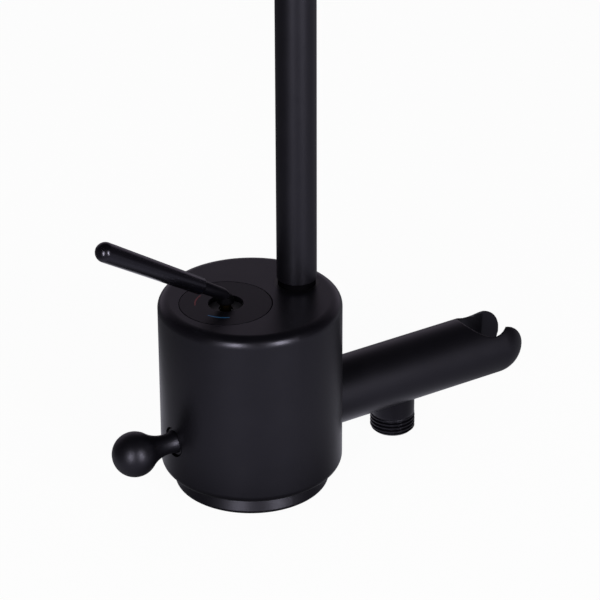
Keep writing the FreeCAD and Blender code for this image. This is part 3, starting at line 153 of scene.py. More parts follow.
class Wiring:
    """Adds and links the nodes of one node tree."""

    def __init__(self, tree: bpy.types.NodeTree) -> None:
        """Starts from an empty tree."""
        self.tree = tree
        self.tree.nodes.clear()

    def node(
        self,
        kind: str,
        settings: dict[str, Any] | None = None,
        sockets: dict[str | int, Any] | None = None,
    ) -> bpy.types.Node:
        """Adds a node.

        Args:
            kind: Blender's name of the node type.
            settings: Properties, set before the sockets.
            sockets: Input values, or links when the value is an output.

        Returns:
            The new node.
        """
        made = self.tree.nodes.new(kind)
        for name, value in (settings or {}).items():
            setattr(made, name, value)
        for name, value in (sockets or {}).items():
            source = value.source if isinstance(value, Socket) else value
            if isinstance(source, bpy.types.NodeSocket):
                self.tree.links.new(source, made.inputs[name])
            else:
                made.inputs[name].default_value = source
        return made

    def measure(self, operation: str, first: Link, second: Sequence[float] | Link) -> Socket:
        """Returns the number that a Vector Math node works out from two vectors."""
        node = self.node("ShaderNodeVectorMath", {"operation": operation}, {0: first, 1: second})
        return Socket(self, node.outputs["Value"])

    def ray(self, kind: str) -> Socket:
        """Returns 1 for rays of one kind, such as Camera or Glossy, and 0 for others."""
        return Socket(self, self.node("ShaderNodeLightPath").outputs[f"Is {kind} Ray"])


class Paint(Wiring):
    """Builds one surface material from noise, colour mixes and bump."""

    # Socket numbers of a Mix node that mixes colours
    FACTOR, FIRST, SECOND, RESULT = 0, 6, 7, 2
    # How well a softened normal matches the true one on an edge and on an open face
    EDGE_MATCH, FACE_MATCH = 0.80, 0.99
    # Upward share of the normal on an upright face and where a rounded rim begins
    UPRIGHT, RIM = 0.10, 0.40
    # Upward share of the normal on a sloping face and on a level one
    SLOPED, LEVEL = 0.75, 0.97

    def __init__(self, name: str) -> None:
        """Starts an empty material that is placed by object coordinates.

        Args:
            name: Material name.
        """
        self.material = bpy.data.materials.new(name)
        self.material.use_nodes = True
        super().__init__(self.material.node_tree)
        self.place = self.node("ShaderNodeTexCoord").outputs["Object"]

    def noise(self, grain: float, detail: float = 2.0, stretch: Corner = (1.0, 1.0, 1.0)) -> Socket:
        """Cloudy noise from 0 to 1.

        Args:
            grain: Width of one cloud in millimetres.
            detail: Octaves of finer clouds.
            stretch: How much longer the clouds are along X, Y and Z.

        Returns:
            The noise value.
        """
        squeeze = tuple(1 / share for share in stretch)
        place = self.node(
            "ShaderNodeVectorMath", {"operation": "MULTIPLY"}, {0: self.place, 1: squeeze}
        )
        clouds = self.node(
            "ShaderNodeTexNoise",
            sockets={"Vector": place.outputs[0], "Scale": 1 / (grain * MM), "Detail": detail},
        )
        return Socket(self, clouds.outputs["Fac"])

    def blend(self, share: Operand, first: Colour, second: Colour) -> bpy.types.NodeSocket:
        """Mixes two colours by a 0 to 1 share of the second."""
        node = self.node(
            "ShaderNodeMix",
            {"data_type": "RGBA"},
            {self.FACTOR: share, self.FIRST: (*first, 1.0), self.SECOND: (*second, 1.0)},
        )
        return node.outputs[self.RESULT]

    def bump(self, height: Socket, depth: float) -> bpy.types.NodeSocket:
        """Turns a 0 to 1 height of the given depth in millimetres into a normal."""
        node = self.node("ShaderNodeBump", sockets={"Height": height, "Distance": depth * MM})
        return node.outputs["Normal"]

    def edges(self, width: float) -> Socket:
        """Finds the sharp edges of a piece.

        Args:
            width: Width of the edge zone in millimetres.

        Returns:
            1 on an edge, 0 on an open face.
        """
        softened = self.node("ShaderNodeBevel", sockets={"Radius": width * MM})
        match = self.measure("DOT_PRODUCT", softened.outputs["Normal"], self.facing())
        return 1 - match.ramp(self.EDGE_MATCH, self.FACE_MATCH)

    def upward(self) -> Socket:
        """Returns the upward share of the normal."""
        return self.measure("DOT_PRODUCT", self.facing(), (0.0, 0.0, 1.0))

    def level(self) -> Socket:
        """Returns 1 on faces that look straight up and 0 on faces that slope."""
        return self.upward().ramp(self.SLOPED, self.LEVEL)

    def rim(self) -> Socket:
        """Returns 1 on a rounded upper rim and 0 on upright and level faces."""
        return self.upward().ramp(self.UPRIGHT, self.RIM) - self.level()

    def facing(self) -> bpy.types.NodeSocket:
        """Returns the direction that each face looks in."""
        return self.node("ShaderNodeNewGeometry").outputs["Normal"]

    def surface(self, sockets: dict[str | int, Any]) -> bpy.types.Material:
        """Ends the material with a Principled surface.

        Args:
            sockets: Values and links of the surface.

        Returns:
            The finished material.
        """
        shader = self.node("ShaderNodeBsdfPrincipled", sockets=sockets)
        self.node("ShaderNodeOutputMaterial", sockets={"Surface": shader.outputs[0]})
        return self.material


# Finishes


@dataclass(frozen=True)
class PowderCoat:
    """Baked black coat with a fine orange peel, a slight mottle and painted highlights on its edges.

    Attributes:
        name: Material name.
        dark: Colour in the darker clouds.
        light: Colour in the lighter clouds.
        roughness: Mean roughness.
        shine: Strength of the reflection, 0.5 for a plain coat.
        tint: Colour of the reflection.
        mottle: Width of the clouds.
        mottle_share: Share of the clouds in the colour. Grains make up the rest.
        swing: How far the roughness changes from cloud to cloud.
        grain: Width of one grain of the coat.
        peel: Width of one dimple of the peel.
        peel_share: Share of the peel in the bump. Grains make up the rest.
        peel_depth: Depth of the peel.
        edge_highlight_width: Width of the edge zone that carries the painted highlight.
        edge_highlight_tone: How much of the light colour an edge gains, as a painted highlight.
        edge_polish: How much roughness an edge loses.
        level_polish: How much roughness a level face loses, where the coat has flowed out.
        rim_polish: How much roughness a rounded upper rim loses.
    """

    name: str
    dark: Colour
    light: Colour
    roughness: float
    shine: float = 0.5
    tint: Colour = (0.84, 0.81, 1.0)
    mottle: float = 9.0
    mottle_share: float = 0.6
    swing: float = 0.08
    grain: float = 0.28
    peel: float = 1.3
    peel_share: float = 0.8
    peel_depth: float = 0.012
    edge_highlight_width: float = 0.6
    edge_highlight_tone: float = 0.8
    edge_polish: float = 0.08
    level_polish: float = 0.0
    rim_polish: float = 0.0

    def material(self) -> bpy.types.Material:
        """Builds the coat.

        Returns:
            The material.
        """
        paint = Paint(self.name)
        clouds = paint.noise(self.mottle, detail=3.0)
        grains = paint.noise(self.grain, detail=1.0)
        peel = paint.noise(self.peel)
        # Painted highlight: the edges get a lighter colour, in the clouds' pattern, and less roughness.
        edge_highlight = paint.edges(self.edge_highlight_width) * clouds
        shade = clouds * self.mottle_share + grains * (1 - self.mottle_share) + edge_highlight * self.edge_highlight_tone
        relief = peel * self.peel_share + grains * (1 - self.peel_share)
        polish = edge_highlight * self.edge_polish + paint.level() * self.level_polish + paint.rim() * self.rim_polish
        return paint.surface(
            {
                "Base Color": paint.blend(shade, self.dark, self.light),
                "Roughness": self.roughness + (clouds - 0.5) * self.swing - polish,
                "Specular IOR Level": self.shine,
                "Specular Tint": (*self.tint, 1.0),
                "Normal": paint.bump(relief, self.peel_depth),
            }
        )


@dataclass(frozen=True)
class Metal:
    """Bare turned metal with fine lines round the part and dull patches.

    Attributes:
        name: Material name.
        bright: Colour of the clean metal.
        dull: Colour where it has tarnished.
        roughness: Roughness of the clean metal.
        patch: Width of one dull patch.
        patch_range: Noise values where a patch starts and where it is full.
        patch_roughness: Roughness that a patch adds.
        line: Width of one turning line.
        line_length: How many times longer than wide a line is.
        line_depth: Depth of the turning lines.
        line_roughness: Roughness that the lines add.
    """

    name: str
    bright: Colour
    dull: Colour
    roughness: float
    patch: float = 6.0
    patch_range: Flat = (0.4, 0.7)
    patch_roughness: float = 0.12
    line: float = 0.35
    line_length: float = 12.0
    line_depth: float = 0.004
    line_roughness: float = 0.06

    def material(self) -> bpy.types.Material:
        """Builds the metal.

        Returns:
            The material.
        """
        paint = Paint(self.name)
        patches = paint.noise(self.patch, detail=3.0).ramp(*self.patch_range)
        lines = paint.noise(self.line, detail=1.0, stretch=(self.line_length, self.line_length, 1.0))
        roughness = self.roughness + patches * self.patch_roughness + lines * self.line_roughness
        return paint.surface(
            {
                "Base Color": paint.blend(patches, self.bright, self.dull),
                "Roughness": roughness,
                "Normal": paint.bump(lines, self.line_depth),
                "Metallic": 1.0,
            }
        )


@dataclass(frozen=True)
class Moulded:
    """Moulded rubber, plastic, ceramic or enamel with a faint texture.

    Attributes:
        name: Material name.
        main: Main colour.
        second: Colour of the faint clouds.
        roughness: Mean roughness.
        texture: Width of one grain of the texture.
        texture_depth: Depth of the texture.
        cloud: Width of one cloud.
        swing: How far the roughness changes from grain to grain.
    """

    name: str
    main: Colour
    second: Colour
    roughness: float
    texture: float = 0.6
    texture_depth: float = 0.008
    cloud: float = 4.0
    swing: float = 0.1

    def material(self) -> bpy.types.Material:
        """Builds the moulded surface.

        Returns:
            The material.
        """
        paint = Paint(self.name)
        clouds = paint.noise(self.cloud)
        grains = paint.noise(self.texture)
        return paint.surface(
            {
                "Base Color": paint.blend(clouds, self.main, self.second),
                "Roughness": self.roughness + (grains - 0.5) * self.swing,
                "Normal": paint.bump(grains, self.texture_depth),
            }
        )


Finish = Union[PowderCoat, Metal, Moulded]

DARK_BLACK, LIGHT_BLACK = (0.0009, 0.0008, 0.0014), (0.0018, 0.0016, 0.0026)
BODY_COAT = PowderCoat("body_coat", DARK_BLACK, LIGHT_BLACK, 0.40, level_polish=0.05, rim_polish=0.10)
FOOT_COAT = PowderCoat("foot_coat", DARK_BLACK, LIGHT_BLACK, 0.42, shine=0.45)
# Less shine than the arm's coat: partly a thinner coat on the thread, partly painted shade under the arm.
OUTLET_COAT = PowderCoat("outlet_coat", DARK_BLACK, LIGHT_BLACK, 0.42, shine=0.25)
FITTING_COAT = PowderCoat("fitting_coat", DARK_BLACK, LIGHT_BLACK, 0.40)
PIPE_COAT = PowderCoat("pipe_coat", DARK_BLACK, LIGHT_BLACK, 0.40, shine=0.60)
LEVER_COAT = PowderCoat("lever_coat", DARK_BLACK, LIGHT_BLACK, 0.24, shine=0.65, peel_depth=0.002)
# Painted shade: a duller copy of the lever's coat, for the neck that lies in shade under the bar.
SHADED_NECK_COAT = PowderCoat("shaded_neck_coat", DARK_BLACK, LIGHT_BLACK, 0.32, shine=0.22, peel_depth=0.002)
DISC_COAT = PowderCoat("disc_coat", DARK_BLACK, LIGHT_BLACK, 0.38, shine=0.25, level_polish=0.05)
# Painted shade: darker than the other coats and almost without shine, for the lever's hub under the bend and
# the pipe's neck at its foot.
PAINTED_SHADE_COAT = PowderCoat("painted_shade_coat", (0.0004, 0.0003, 0.0005), (0.0008, 0.0007, 0.0010), 0.60, shine=0.04)
BRASS = Metal("brass", (0.78, 0.56, 0.27), (0.52, 0.36, 0.17), 0.24)
# Painted shade: brass darkened almost to black, for the spindle, which shows only in the shade of the hole
# under the lever's hub.
SHADED_BRASS = Metal("shaded_brass", (0.014, 0.009, 0.003), (0.009, 0.006, 0.002), 0.45)
STEEL = Metal("steel", (0.62, 0.62, 0.63), (0.45, 0.45, 0.46), 0.28)
RUBBER = Moulded("rubber", (0.012, 0.012, 0.012), (0.020, 0.019, 0.018), 0.70)
BUSH_PLASTIC = Moulded("bush_plastic", DARK_BLACK, LIGHT_BLACK, 0.35, texture_depth=0.002)
BLACK_PLASTIC = Moulded("black_plastic", (0.016, 0.015, 0.018), (0.024, 0.023, 0.027), 0.45)
WHITE_PLASTIC = Moulded("white_plastic", (0.74, 0.74, 0.72), (0.66, 0.66, 0.63), 0.40)
CERAMIC = Moulded(
    "ceramic", (0.80, 0.79, 0.75), (0.74, 0.73, 0.69), 0.18, texture=1.2, texture_depth=0.002
)
RED_ENAMEL = Moulded("red_enamel", (0.12, 0.012, 0.016), (0.085, 0.008, 0.011), 0.40)
BLUE_ENAMEL = Moulded("blue_enamel", (0.008, 0.085, 0.21), (0.006, 0.060, 0.15), 0.40)


class Finishes:
    """Makes each finish's material once and hands it out."""

    def __init__(self) -> None:
        """Starts with no material made."""
        self._made: dict[str, bpy.types.Material] = {}

    def of(self, finish: Finish) -> bpy.types.Material:
        """Finds or makes the material of a finish.

        Args:
            finish: The finish.

        Returns:
            Its material.
        """
        if finish.name not in self._made:
            self._made[finish.name] = finish.material()
        return self._made[finish.name]


# Mesh building


def placed(origin: Sequence[float], direction: Sequence[float]) -> Matrix:
    """Returns the matrix that sets local Z along a direction from an origin, in millimetres."""
    turn = Vector((0, 0, 1)).rotation_difference(Vector(direction)).to_matrix().to_4x4()
    return Matrix.Translation(Vector(origin)) @ turn


def arc(centre: Flat, radius: float, start: float, end: float, steps: int = 10) -> list[Flat]:
    """Returns points on an arc between two angles in degrees."""
    angles = [math.radians(start + (end - start) * step / steps) for step in range(steps + 1)]
    return [(centre[0] + radius * math.cos(a), centre[1] + radius * math.sin(a)) for a in angles]


def rounded(corners: Sequence[Corner], steps: int = 5) -> list[Flat]:
    """Draws a line through corners and rounds each one.

    Args:
        corners: (radius, height, rounding) of each corner in order.
        steps: Pieces that each rounding is split into.

    Returns:
        The points of the line.
    """
    line: list[Flat] = []
    for index, (radius, height, rounding) in enumerate(corners):
        here = Vector((radius, height))
        if not rounding or index in (0, len(corners) - 1):
            line.append((radius, height))
            continue
        back = (Vector(corners[index - 1][:2]) - here).normalized()
        onward = (Vector(corners[index + 1][:2]) - here).normalized()
        half = back.angle(onward) / 2
        middle = here + (back + onward).normalized() * (rounding / math.sin(half))
        start = here + back * (rounding / math.tan(half)) - middle
        end = here + onward * (rounding / math.tan(half)) - middle
        for step in range(steps + 1):
            spoke = start.slerp(end, step / steps)
            line.append((middle.x + spoke.x, middle.y + spoke.y))
    return line


def shown(name: str, data: bpy.types.Mesh) -> bpy.types.Object:
    """Puts a mesh into the scene as an object.

    Args:
        name: Name of the object.
        data: Its mesh.

    Returns:
        The object.
    """
    made = bpy.data.objects.new(name, data)
    bpy.context.scene.collection.objects.link(made)
    return made


def from_bmesh(name: str, built: bmesh.types.BMesh) -> bpy.types.Object:
    """Turns a finished bmesh into an object of the scene and frees it.

    Args:
        name: Name of the mesh and the object.
        built: The bmesh.

    Returns:
        The object.
    """
    data = bpy.data.meshes.new(name)
    built.to_mesh(data)
    built.free()
    return shown(name, data)


class Skin:
    """Stitches rings of points into one closed mesh."""

    SHARP = math.radians(38)

    def __init__(self, name: str, segments: int = 96) -> None:
        """Starts an empty skin.

        Args:
            name: Name of the piece.
            segments: Points in each ring.
        """
        self.name = name
        self.segments = segments
        self.mesh = bmesh.new()
        self._first: list[bmesh.types.BMVert] = []
        self._last: list[bmesh.types.BMVert] = []

    def angles(self) -> list[float]:
        """Returns the angle of each point of a ring."""
        return [TURN * index / self.segments for index in range(self.segments)]

    def ring(self, points: Iterable[Vector]) -> None:
        """Adds a ring and joins it to the ring before.

        Args:
            points: Points of the ring in millimetres.
        """
        ring = [self.mesh.verts.new(point * MM) for point in points]
        self._join(ring)
        self._first = self._first or ring
        self._last = ring

    def tip(self, point: Vector) -> None:
        """Adds a single point that closes the skin at an end."""
        self.ring([point])

    def close(self) -> None:
        """Joins the last ring to the first, for a piece with a hole through it."""
        self._join(self._first)

    def _join(self, ring: list[bmesh.types.BMVert]) -> None:
        """Joins a ring to the last one with quads, or with triangles at a tip.

        Args:
            ring: The new ring.
        """
        before = self._last
        count = max(len(before), len(ring))
        for index in range(count if before else 0):
            corners: list[bmesh.types.BMVert] = []
            for row, step in ((before, 0), (before, 1), (ring, 1), (ring, 0)):
                corner = row[(index + step) % len(row)]
                if corner not in corners:
                    corners.append(corner)
            self.mesh.faces.new(corners)

    def piece(self) -> bpy.types.Object:
        """Shades the skin smooth except at sharp edges.

        Returns:
            The finished piece.
        """
        bmesh.ops.recalc_face_normals(self.mesh, faces=self.mesh.faces[:])
        for face in self.mesh.faces:
            face.smooth = True
        for edge in self.mesh.edges:
            edge.smooth = edge.calc_face_angle(0.0) < self.SHARP
        return from_bmesh(self.name, self.mesh)


def turned(name: str, outline: Sequence[Flat], place: Matrix, segments: int = 96) -> bpy.types.Object:
    """Turns an outline of (radius, height) points round an axis.

    Args:
        name: Name of the piece.
        outline: Points from one end on the axis to the other, or round a section off the axis.
        place: Matrix of the axis.
        segments: Points round the axis.

    Returns:
        The turned piece.
    """
    skin = Skin(name, segments)
    for radius, height in outline:
        if radius:
            skin.ring(
                place @ Vector((radius * math.cos(a), radius * math.sin(a), height)) for a in skin.angles()
            )
        else:
            skin.tip(place @ Vector((0, 0, height)))
    if outline[0][0]:
        skin.close()
    return skin.piece()


@dataclass(frozen=True)
class Station:
    """One place on a bent tube that lies in the YZ plane.

    Attributes:
        centre: (y, z) of the middle.
        heading: Angle of the tube's direction from +Y towards +Z, in degrees.
        radius: Radius of the tube there.
    """

    centre: Flat
    heading: float
    radius: float


def swept(name: str, stations: Sequence[Station], segments: int = 96) -> bpy.types.Object:
    """Sweeps circles along stations and closes both ends.

    Args:
        name: Name of the piece.
        stations: Places from one end to the other.
        segments: Points round the tube.

    Returns:
        The swept piece.
    """
    skin = Skin(name, segments)
    skin.tip(Vector((0, *stations[0].centre)))
    for station in stations:
        heading = math.radians(station.heading)
        across = Vector((0, -math.sin(heading), math.cos(heading)))
        middle = Vector((0, *station.centre))
        skin.ring(
            middle + (Vector((1, 0, 0)) * math.cos(a) + across * math.sin(a)) * station.radius
            for a in skin.angles()
        )
    skin.tip(Vector((0, *stations[-1].centre)))
    return skin.piece()


@dataclass(frozen=True)
class Spring:
    """Coil spring that a joint presses together.

    Attributes:
        name: Name of the piece.
        node: Node of the frame that it stands for.
        joint: Joint that presses it. Not used.
        axis: Direction from its fixed end to its moving end.
        radius: Radius of the coil at the middle of the wire.
        wire: Radius of the wire.
        pitch: Distance between turns.
        travel: How far the joint presses it. Not used.
        turn_steps: Rings in one turn.
        wire_segments: Points round the wire.
    """

    name: str
    node: str
    joint: Joint
    axis: Corner
    radius: float
    wire: float
    pitch: float
    travel: float
    turn_steps: int = 28
    wire_segments: int = 10

    def build(self) -> bpy.types.Object:
        """Winds the wire inside the node's box.

        Returns:
            The spring.
        """
        axis = Vector(self.axis)
        low, high = (Vector(corner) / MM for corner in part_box(self.node))
        length = abs((high - low).dot(axis))
        fixed_end = (low + high) / 2 - axis * (length / 2)
        made = self._wound(placed(fixed_end, axis), length)
        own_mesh(made)
        return made

    def _wound(self, place: Matrix, length: float) -> bpy.types.Object:
        """Winds the wire.

        Args:
            place: Matrix of the coil's axis at its fixed end.
            length: Length over the wire at both ends.

        Returns:
            The coil.
        """
        rise = length - 2 * self.wire
        steps = round(rise / self.pitch * self.turn_steps)
        skin = Skin(self.name, self.wire_segments)
        for step in range(steps + 1):
            angle = TURN * step / self.turn_steps
            out = Vector((math.cos(angle), math.sin(angle), 0))
            along = Vector((-math.sin(angle), math.cos(angle), self.pitch / (TURN * self.radius)))
            side = along.normalized().cross(out)
            centre = out * self.radius + Vector((0, 0, self.wire + rise * step / steps))
            if step == 0:
                skin.tip(place @ centre)
            skin.ring(
                place @ (centre + (out * math.cos(a) + side * math.sin(a)) * self.wire)
                for a in skin.angles()
            )
        skin.tip(place @ centre)
        return skin.piece()


# Sub-assemblies


@dataclass
class SubAssembly:
    """A group of pieces of the tap, made here or carried over from the frame.

    Attributes:
        finishes: Materials that the pieces are dressed with.
    """

    finishes: Finishes

    def carry(self, finish: Finish, *nodes: str) -> None:
        """Dresses nodes of the frame that are shown as they are.

        Args:
            finish: How they look.
            nodes: Names of the nodes.
        """
        for node in nodes:
            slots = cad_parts[node].data.materials
            for index in range(len(slots)):
                slots[index] = self.finishes.of(finish)
            LOG.info("carried %s in %s", node, finish.name)

    def add(
        self, piece: bpy.types.Object, body: Body, slot: Slot, finish: Finish, *nodes: str
    ) -> None:
        """Dresses a piece made here and ties it to the frame.

        Args:
            piece: The new piece.
            body: Body that it moves with.
            slot: Material slot of the part that it belongs to. Not used.
            finish: How it looks.
            nodes: Nodes of the frame that it stands for.
        """
        piece.data.materials.append(self.finishes.of(finish))
        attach(piece, body.value)
        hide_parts(*nodes)
        LOG.info("made %s in %s", piece.name, finish.name)

    def add_spring(self, spring: Spring) -> None:
        """Adds a spring of the tap's body."""
        self.add(spring.build(), Body.TAP, Slot.STEEL, STEEL, spring.node)


@dataclass
class BodyAndFoot(SubAssembly):
    """Shell, foot, cover disc and its marks."""

    def build(self) -> None:
        """Dresses the outside of the body."""
        self.carry(BODY_COAT, "body_shell")
        self.carry(FOOT_COAT, "foot_ring")
        self.carry(DISC_COAT, "cover_disc")
        self.carry(RED_ENAMEL, "hot_mark")
        self.carry(BLUE_ENAMEL, "cold_mark")
        self.carry(RUBBER, "foot_gasket", "disc_o_ring")
        self.carry(BRASS, "base_plate")
        self.carry(STEEL, "foot_screws")


@dataclass
class Cartridge(SubAssembly):
    """Water block and mixing cartridge."""

    def build(self) -> None:
        """Dresses the pieces inside the body."""
        self.carry(BRASS, "valve_block", "cartridge_nut")
        # The spindle wears brass with painted shade.
        self.carry(SHADED_BRASS, "lever_spindle")
        self.carry(STEEL, "inlet_filters", "spindle_pin")
        self.carry(WHITE_PLASTIC, "cartridge_housing", "cartridge_base", "disc_carrier", "cartridge_rotor")
        self.carry(RUBBER, "cartridge_seals")
        self.carry(CERAMIC, "fixed_ceramic_disc", "moving_ceramic_disc")
        self.carry(BLACK_PLASTIC, "stem_shield")


@dataclass
class Lever(SubAssembly):
    """Pin lever: hub, bent neck and tapered bar with a ball end.

    Attributes:
        offset: Distance of the hub in front of the body's axis.
        crossing: Height where the axes of the hub and the bar cross.
        rise: Angle of the bar above the level, in degrees.
        hub_bottom: Height of the hub's underside.
        hub_height: Height of the hub.
        hub_radius: Radius of the hub.
        hub_round: Rounding of the hub's top edge.
        bend: Radius of the bend in the neck.
        neck_radius: Radius of the neck.
        joint: Distance from the crossing to the neck's end.
        joint_radius: Radius of neck and bar where they meet.
        joint_gap: Width of the line between them.
        joint_round: Rounding of their edges.
        reach: Distance from the crossing to the middle of the ball end.
        end_radius: Radius of the ball end.
        steps: Pieces that a round stretch is split into.
        segments: Points round the lever.
    """

    offset: float = 12.5
    crossing: float = 95.6
    rise: float = 32.2
    hub_bottom: float = 92.7
    hub_height: float = 2.5
    hub_radius: float = 3.15
    hub_round: float = 0.8
    bend: float = 5.2
    neck_radius: float = 2.75
    joint: float = 14.8
    joint_radius: float = 3.0
    joint_gap: float = 0.15
    joint_round: float = 0.18
    reach: float = 69.6
    end_radius: float = 4.5
    steps: int = 18
    segments: int = 64

    def build(self) -> None:
        """Makes the lever's three visible pieces."""
        # The hub wears painted shade, for the shade under the lever's bend.
        self.add(self._hub(), Body.LEVER, Slot.BLACK_COAT, PAINTED_SHADE_COAT, "lever_elbow")
        # The neck wears the lever's coat with painted shade.
        self.add(self._neck(), Body.LEVER, Slot.BLACK_COAT, SHADED_NECK_COAT, "lever_elbow")
        self.add(self._bar(), Body.LEVER, Slot.BLACK_COAT, LEVER_COAT, "lever_bar")

    def _hub(self) -> bpy.types.Object:
        """Turns the round boss at the foot of the lever.

        Returns:
            The hub.
        """
        outline = rounded(
            (
                (0, 0, 0),
                (self.hub_radius, 0, self.joint_round),
                (self.hub_radius, self.hub_height, self.hub_round),
                (0, self.hub_height, 0),
            )
        )
        place = placed((0, -self.offset, self.hub_bottom), (0, 0, 1))
        return turned("lever_hub", outline, place, self.segments)

    def _neck(self) -> bpy.types.Object:
        """Sweeps the neck up from the hub, round the bend and out to the joint.

        Returns:
            The neck.
        """
        turn = 90 - self.rise
        tangent = self.bend * math.tan(math.radians(turn / 2))
        start = self.crossing - tangent
        stations = []
        for step in range(self.steps + 1):
            angle = turn * step / self.steps
            centre = (
                -self.offset - self.bend * (1 - math.cos(math.radians(angle))),
                start + self.bend * math.sin(math.radians(angle)),
            )
            stations.append(Station(centre, 90 + angle, self.neck_radius))
        edge = arc((self.joint_radius - self.joint_round, 0), self.joint_round, 0, 90, steps=4)
        stations += [self._station(self.joint - self.joint_round + along, radius) for radius, along in edge]
        return swept("lever_neck", stations, self.segments)

    def _station(self, along: float, radius: float) -> Station:
        """Finds a place on the bar's axis.

        Args:
            along: Distance from where the axes of the hub and the bar cross.
            radius: Radius of the neck there.

        Returns:
            The place.
        """
        rise = math.radians(self.rise)
        centre = (-self.offset - along * math.cos(rise), self.crossing + along * math.sin(rise))
        return Station(centre, 180 - self.rise, radius)

    def _bar(self) -> bpy.types.Object:
        """Turns the tapered bar with its ball end.

        Returns:
            The bar.
        """
        rise = math.radians(self.rise)
        start = self.joint + self.joint_gap
        outline = rounded(
            (
                (0, start, 0),
                (self.joint_radius, start, self.joint_round),
                (self.end_radius, self.reach, 0),
            )
        )
        outline += arc((0, self.reach), self.end_radius, 0, 90, self.steps)[1:-1]
        outline.append((0, self.reach + self.end_radius))
        place = placed((0, -self.offset, self.crossing), (0, -math.cos(rise), math.sin(rise)))
        return turned("lever_bar_turned", outline, place, self.segments)


@dataclass
class Spout(SubAssembly):
    """Gooseneck pipe with its guide, adapter and aerator.

    Attributes:
        offset: Distance of the riser behind the body's axis.
        radius: Outer radius of the pipe.
        wall: Thickness of the pipe.
        bottom: Height of the lower end of the pipe's tail inside the body.
        neck_radius: Radius of the tail's neck, which is narrower than the pipe.
        neck_bottom: Height where the neck starts.
        foot: Height where the pipe starts, a little above the body.
        foot_round: Rounding of the pipe's lower edge.
        body_top: Height of the body's top.
        bush_bottom: Height of the bush's lower end.
        bush_shoulder: Height of the bush's step under the body's roof.
        bush_radius: Radius of the bush.
        bush_collar: Radius of the bush in the body's hole.
        collar_flare: How far the bush widens to fill the slanted edge of the hole.
        run_gap: Room round the bush and for the tail to turn in it.
        straight_top: Height where the bend starts.
        bend: Radius of the bend at the pipe's middle.
        drop: Length of the straight end under the bend.
        inside: Depth that the pipe is open to at its outlet.
        straight_steps: Rings on the riser.
        bend_steps: Rings on the bend.
        rim_steps: Rings on the rolled rim.
    """

    offset: float = 24.5
    radius: float = 9.0
    wall: float = 1.2
    bottom: float = 64.0
    neck_radius: float = 8.5
    neck_bottom: float = 88.0
    foot: float = 94.3
    foot_round: float = 0.3
    body_top: float = 91.5
    bush_bottom: float = 84.0
    bush_shoulder: float = 88.8
    bush_radius: float = 10.9
    bush_collar: float = 9.82
    collar_flare: float = 0.4
    run_gap: float = 0.08
    straight_top: float = 262.0
    bend: float = 95.0
    drop: float = 24.0
    inside: float = 14.0
    straight_steps: int = 12
    bend_steps: int = 72
    rim_steps: int = 8

    def build(self) -> None:
        """Makes the pipe, its tail and its guide bush, and dresses what is fitted to them."""
        self.add(self._pipe(), Body.SPOUT, Slot.BLACK_COAT, PIPE_COAT, "spout_tube")
        # The narrower neck under the pipe is a step in its shape; its darkness is painted shade at the
        # pipe's foot.
        self.add(self._tail(), Body.SPOUT, Slot.BLACK_COAT, PAINTED_SHADE_COAT, "spout_tube")
        self.add(self._bush(), Body.TAP, Slot.BLACK_PLASTIC, BUSH_PLASTIC, "spout_guide_bush")
        self.carry(BRASS, "spout_adapter")
        self.carry(RUBBER, "spout_o_rings", "aerator_washer")
        self.carry(STEEL, "spout_snap_ring")
        self.carry(WHITE_PLASTIC, "aerator_housing", "aerator_insert")

    def _tail(self) -> bpy.types.Object:
        """Turns the tail that goes down into the body and shows as a neck under the pipe.

        Returns:
            The tail.
        """
        slope = self.radius - self.neck_radius
        top = self.foot + self.foot_round
        outline = (
            (0, self.bottom),
            (self.radius, self.bottom),
            (self.radius, self.neck_bottom),
            (self.neck_radius, self.neck_bottom + slope),
            (self.neck_radius, top),
            (0, top),
        )
        return turned("spout_tail", outline, placed((0, self.offset, 0), (0, 0, 1)))

    def _bush(self) -> bpy.types.Object:
        """Turns the bush that guides the tail and fills the body's hole flush with its top.

        Returns:
            The bush.
        """
        outline = (
            (self.radius + self.run_gap, self.bush_bottom),
            (self.bush_radius, self.bush_bottom),
            (self.bush_radius, self.bush_shoulder),
            (self.bush_collar, self.bush_shoulder),
            (self.bush_collar, self.body_top - self.collar_flare),
            (self.bush_collar + self.collar_flare, self.body_top),
            (self.neck_radius + self.run_gap, self.body_top),
            (self.neck_radius + self.run_gap, self.bush_shoulder),
            (self.radius + self.run_gap, self.bush_shoulder),
        )
        return turned("guide_bush_turned", outline, placed((0, self.offset, 0), (0, 0, 1)))

    def _pipe(self) -> bpy.types.Object:
        """Sweeps the pipe up, over the bend, down to its rolled rim and back up inside.

        Returns:
            The pipe.
        """
        edge_middle = (self.radius - self.foot_round, self.foot + self.foot_round)
        edge = arc(edge_middle, self.foot_round, -90, 0, steps=4)
        stations = [Station((self.offset, height), 90, radius) for radius, height in edge]
        start = self.foot + self.foot_round
        for step in range(1, self.straight_steps):
            height = start + (self.straight_top - start) * step / self.straight_steps
            stations.append(Station((self.offset, height), 90, self.radius))
        middle = self.offset - self.bend
        for step in range(self.bend_steps + 1):
            angle = 180 * step / self.bend_steps
            centre = (
                middle + self.bend * math.cos(math.radians(angle)),
                self.straight_top + self.bend * math.sin(math.radians(angle)),
            )
            stations.append(Station(centre, 90 + angle, self.radius))
        outlet = self.offset - 2 * self.bend
        rim = self.straight_top - self.drop + self.wall / 2
        lip = arc((self.radius - self.wall / 2, 0), self.wall / 2, 0, 180, self.rim_steps)
        stations += [Station((outlet, rim - along), 270, radius) for radius, along in lip]
        stations.append(Station((outlet, rim + self.inside), 270, self.radius - self.wall))
        return swept("spout_pipe", stations)


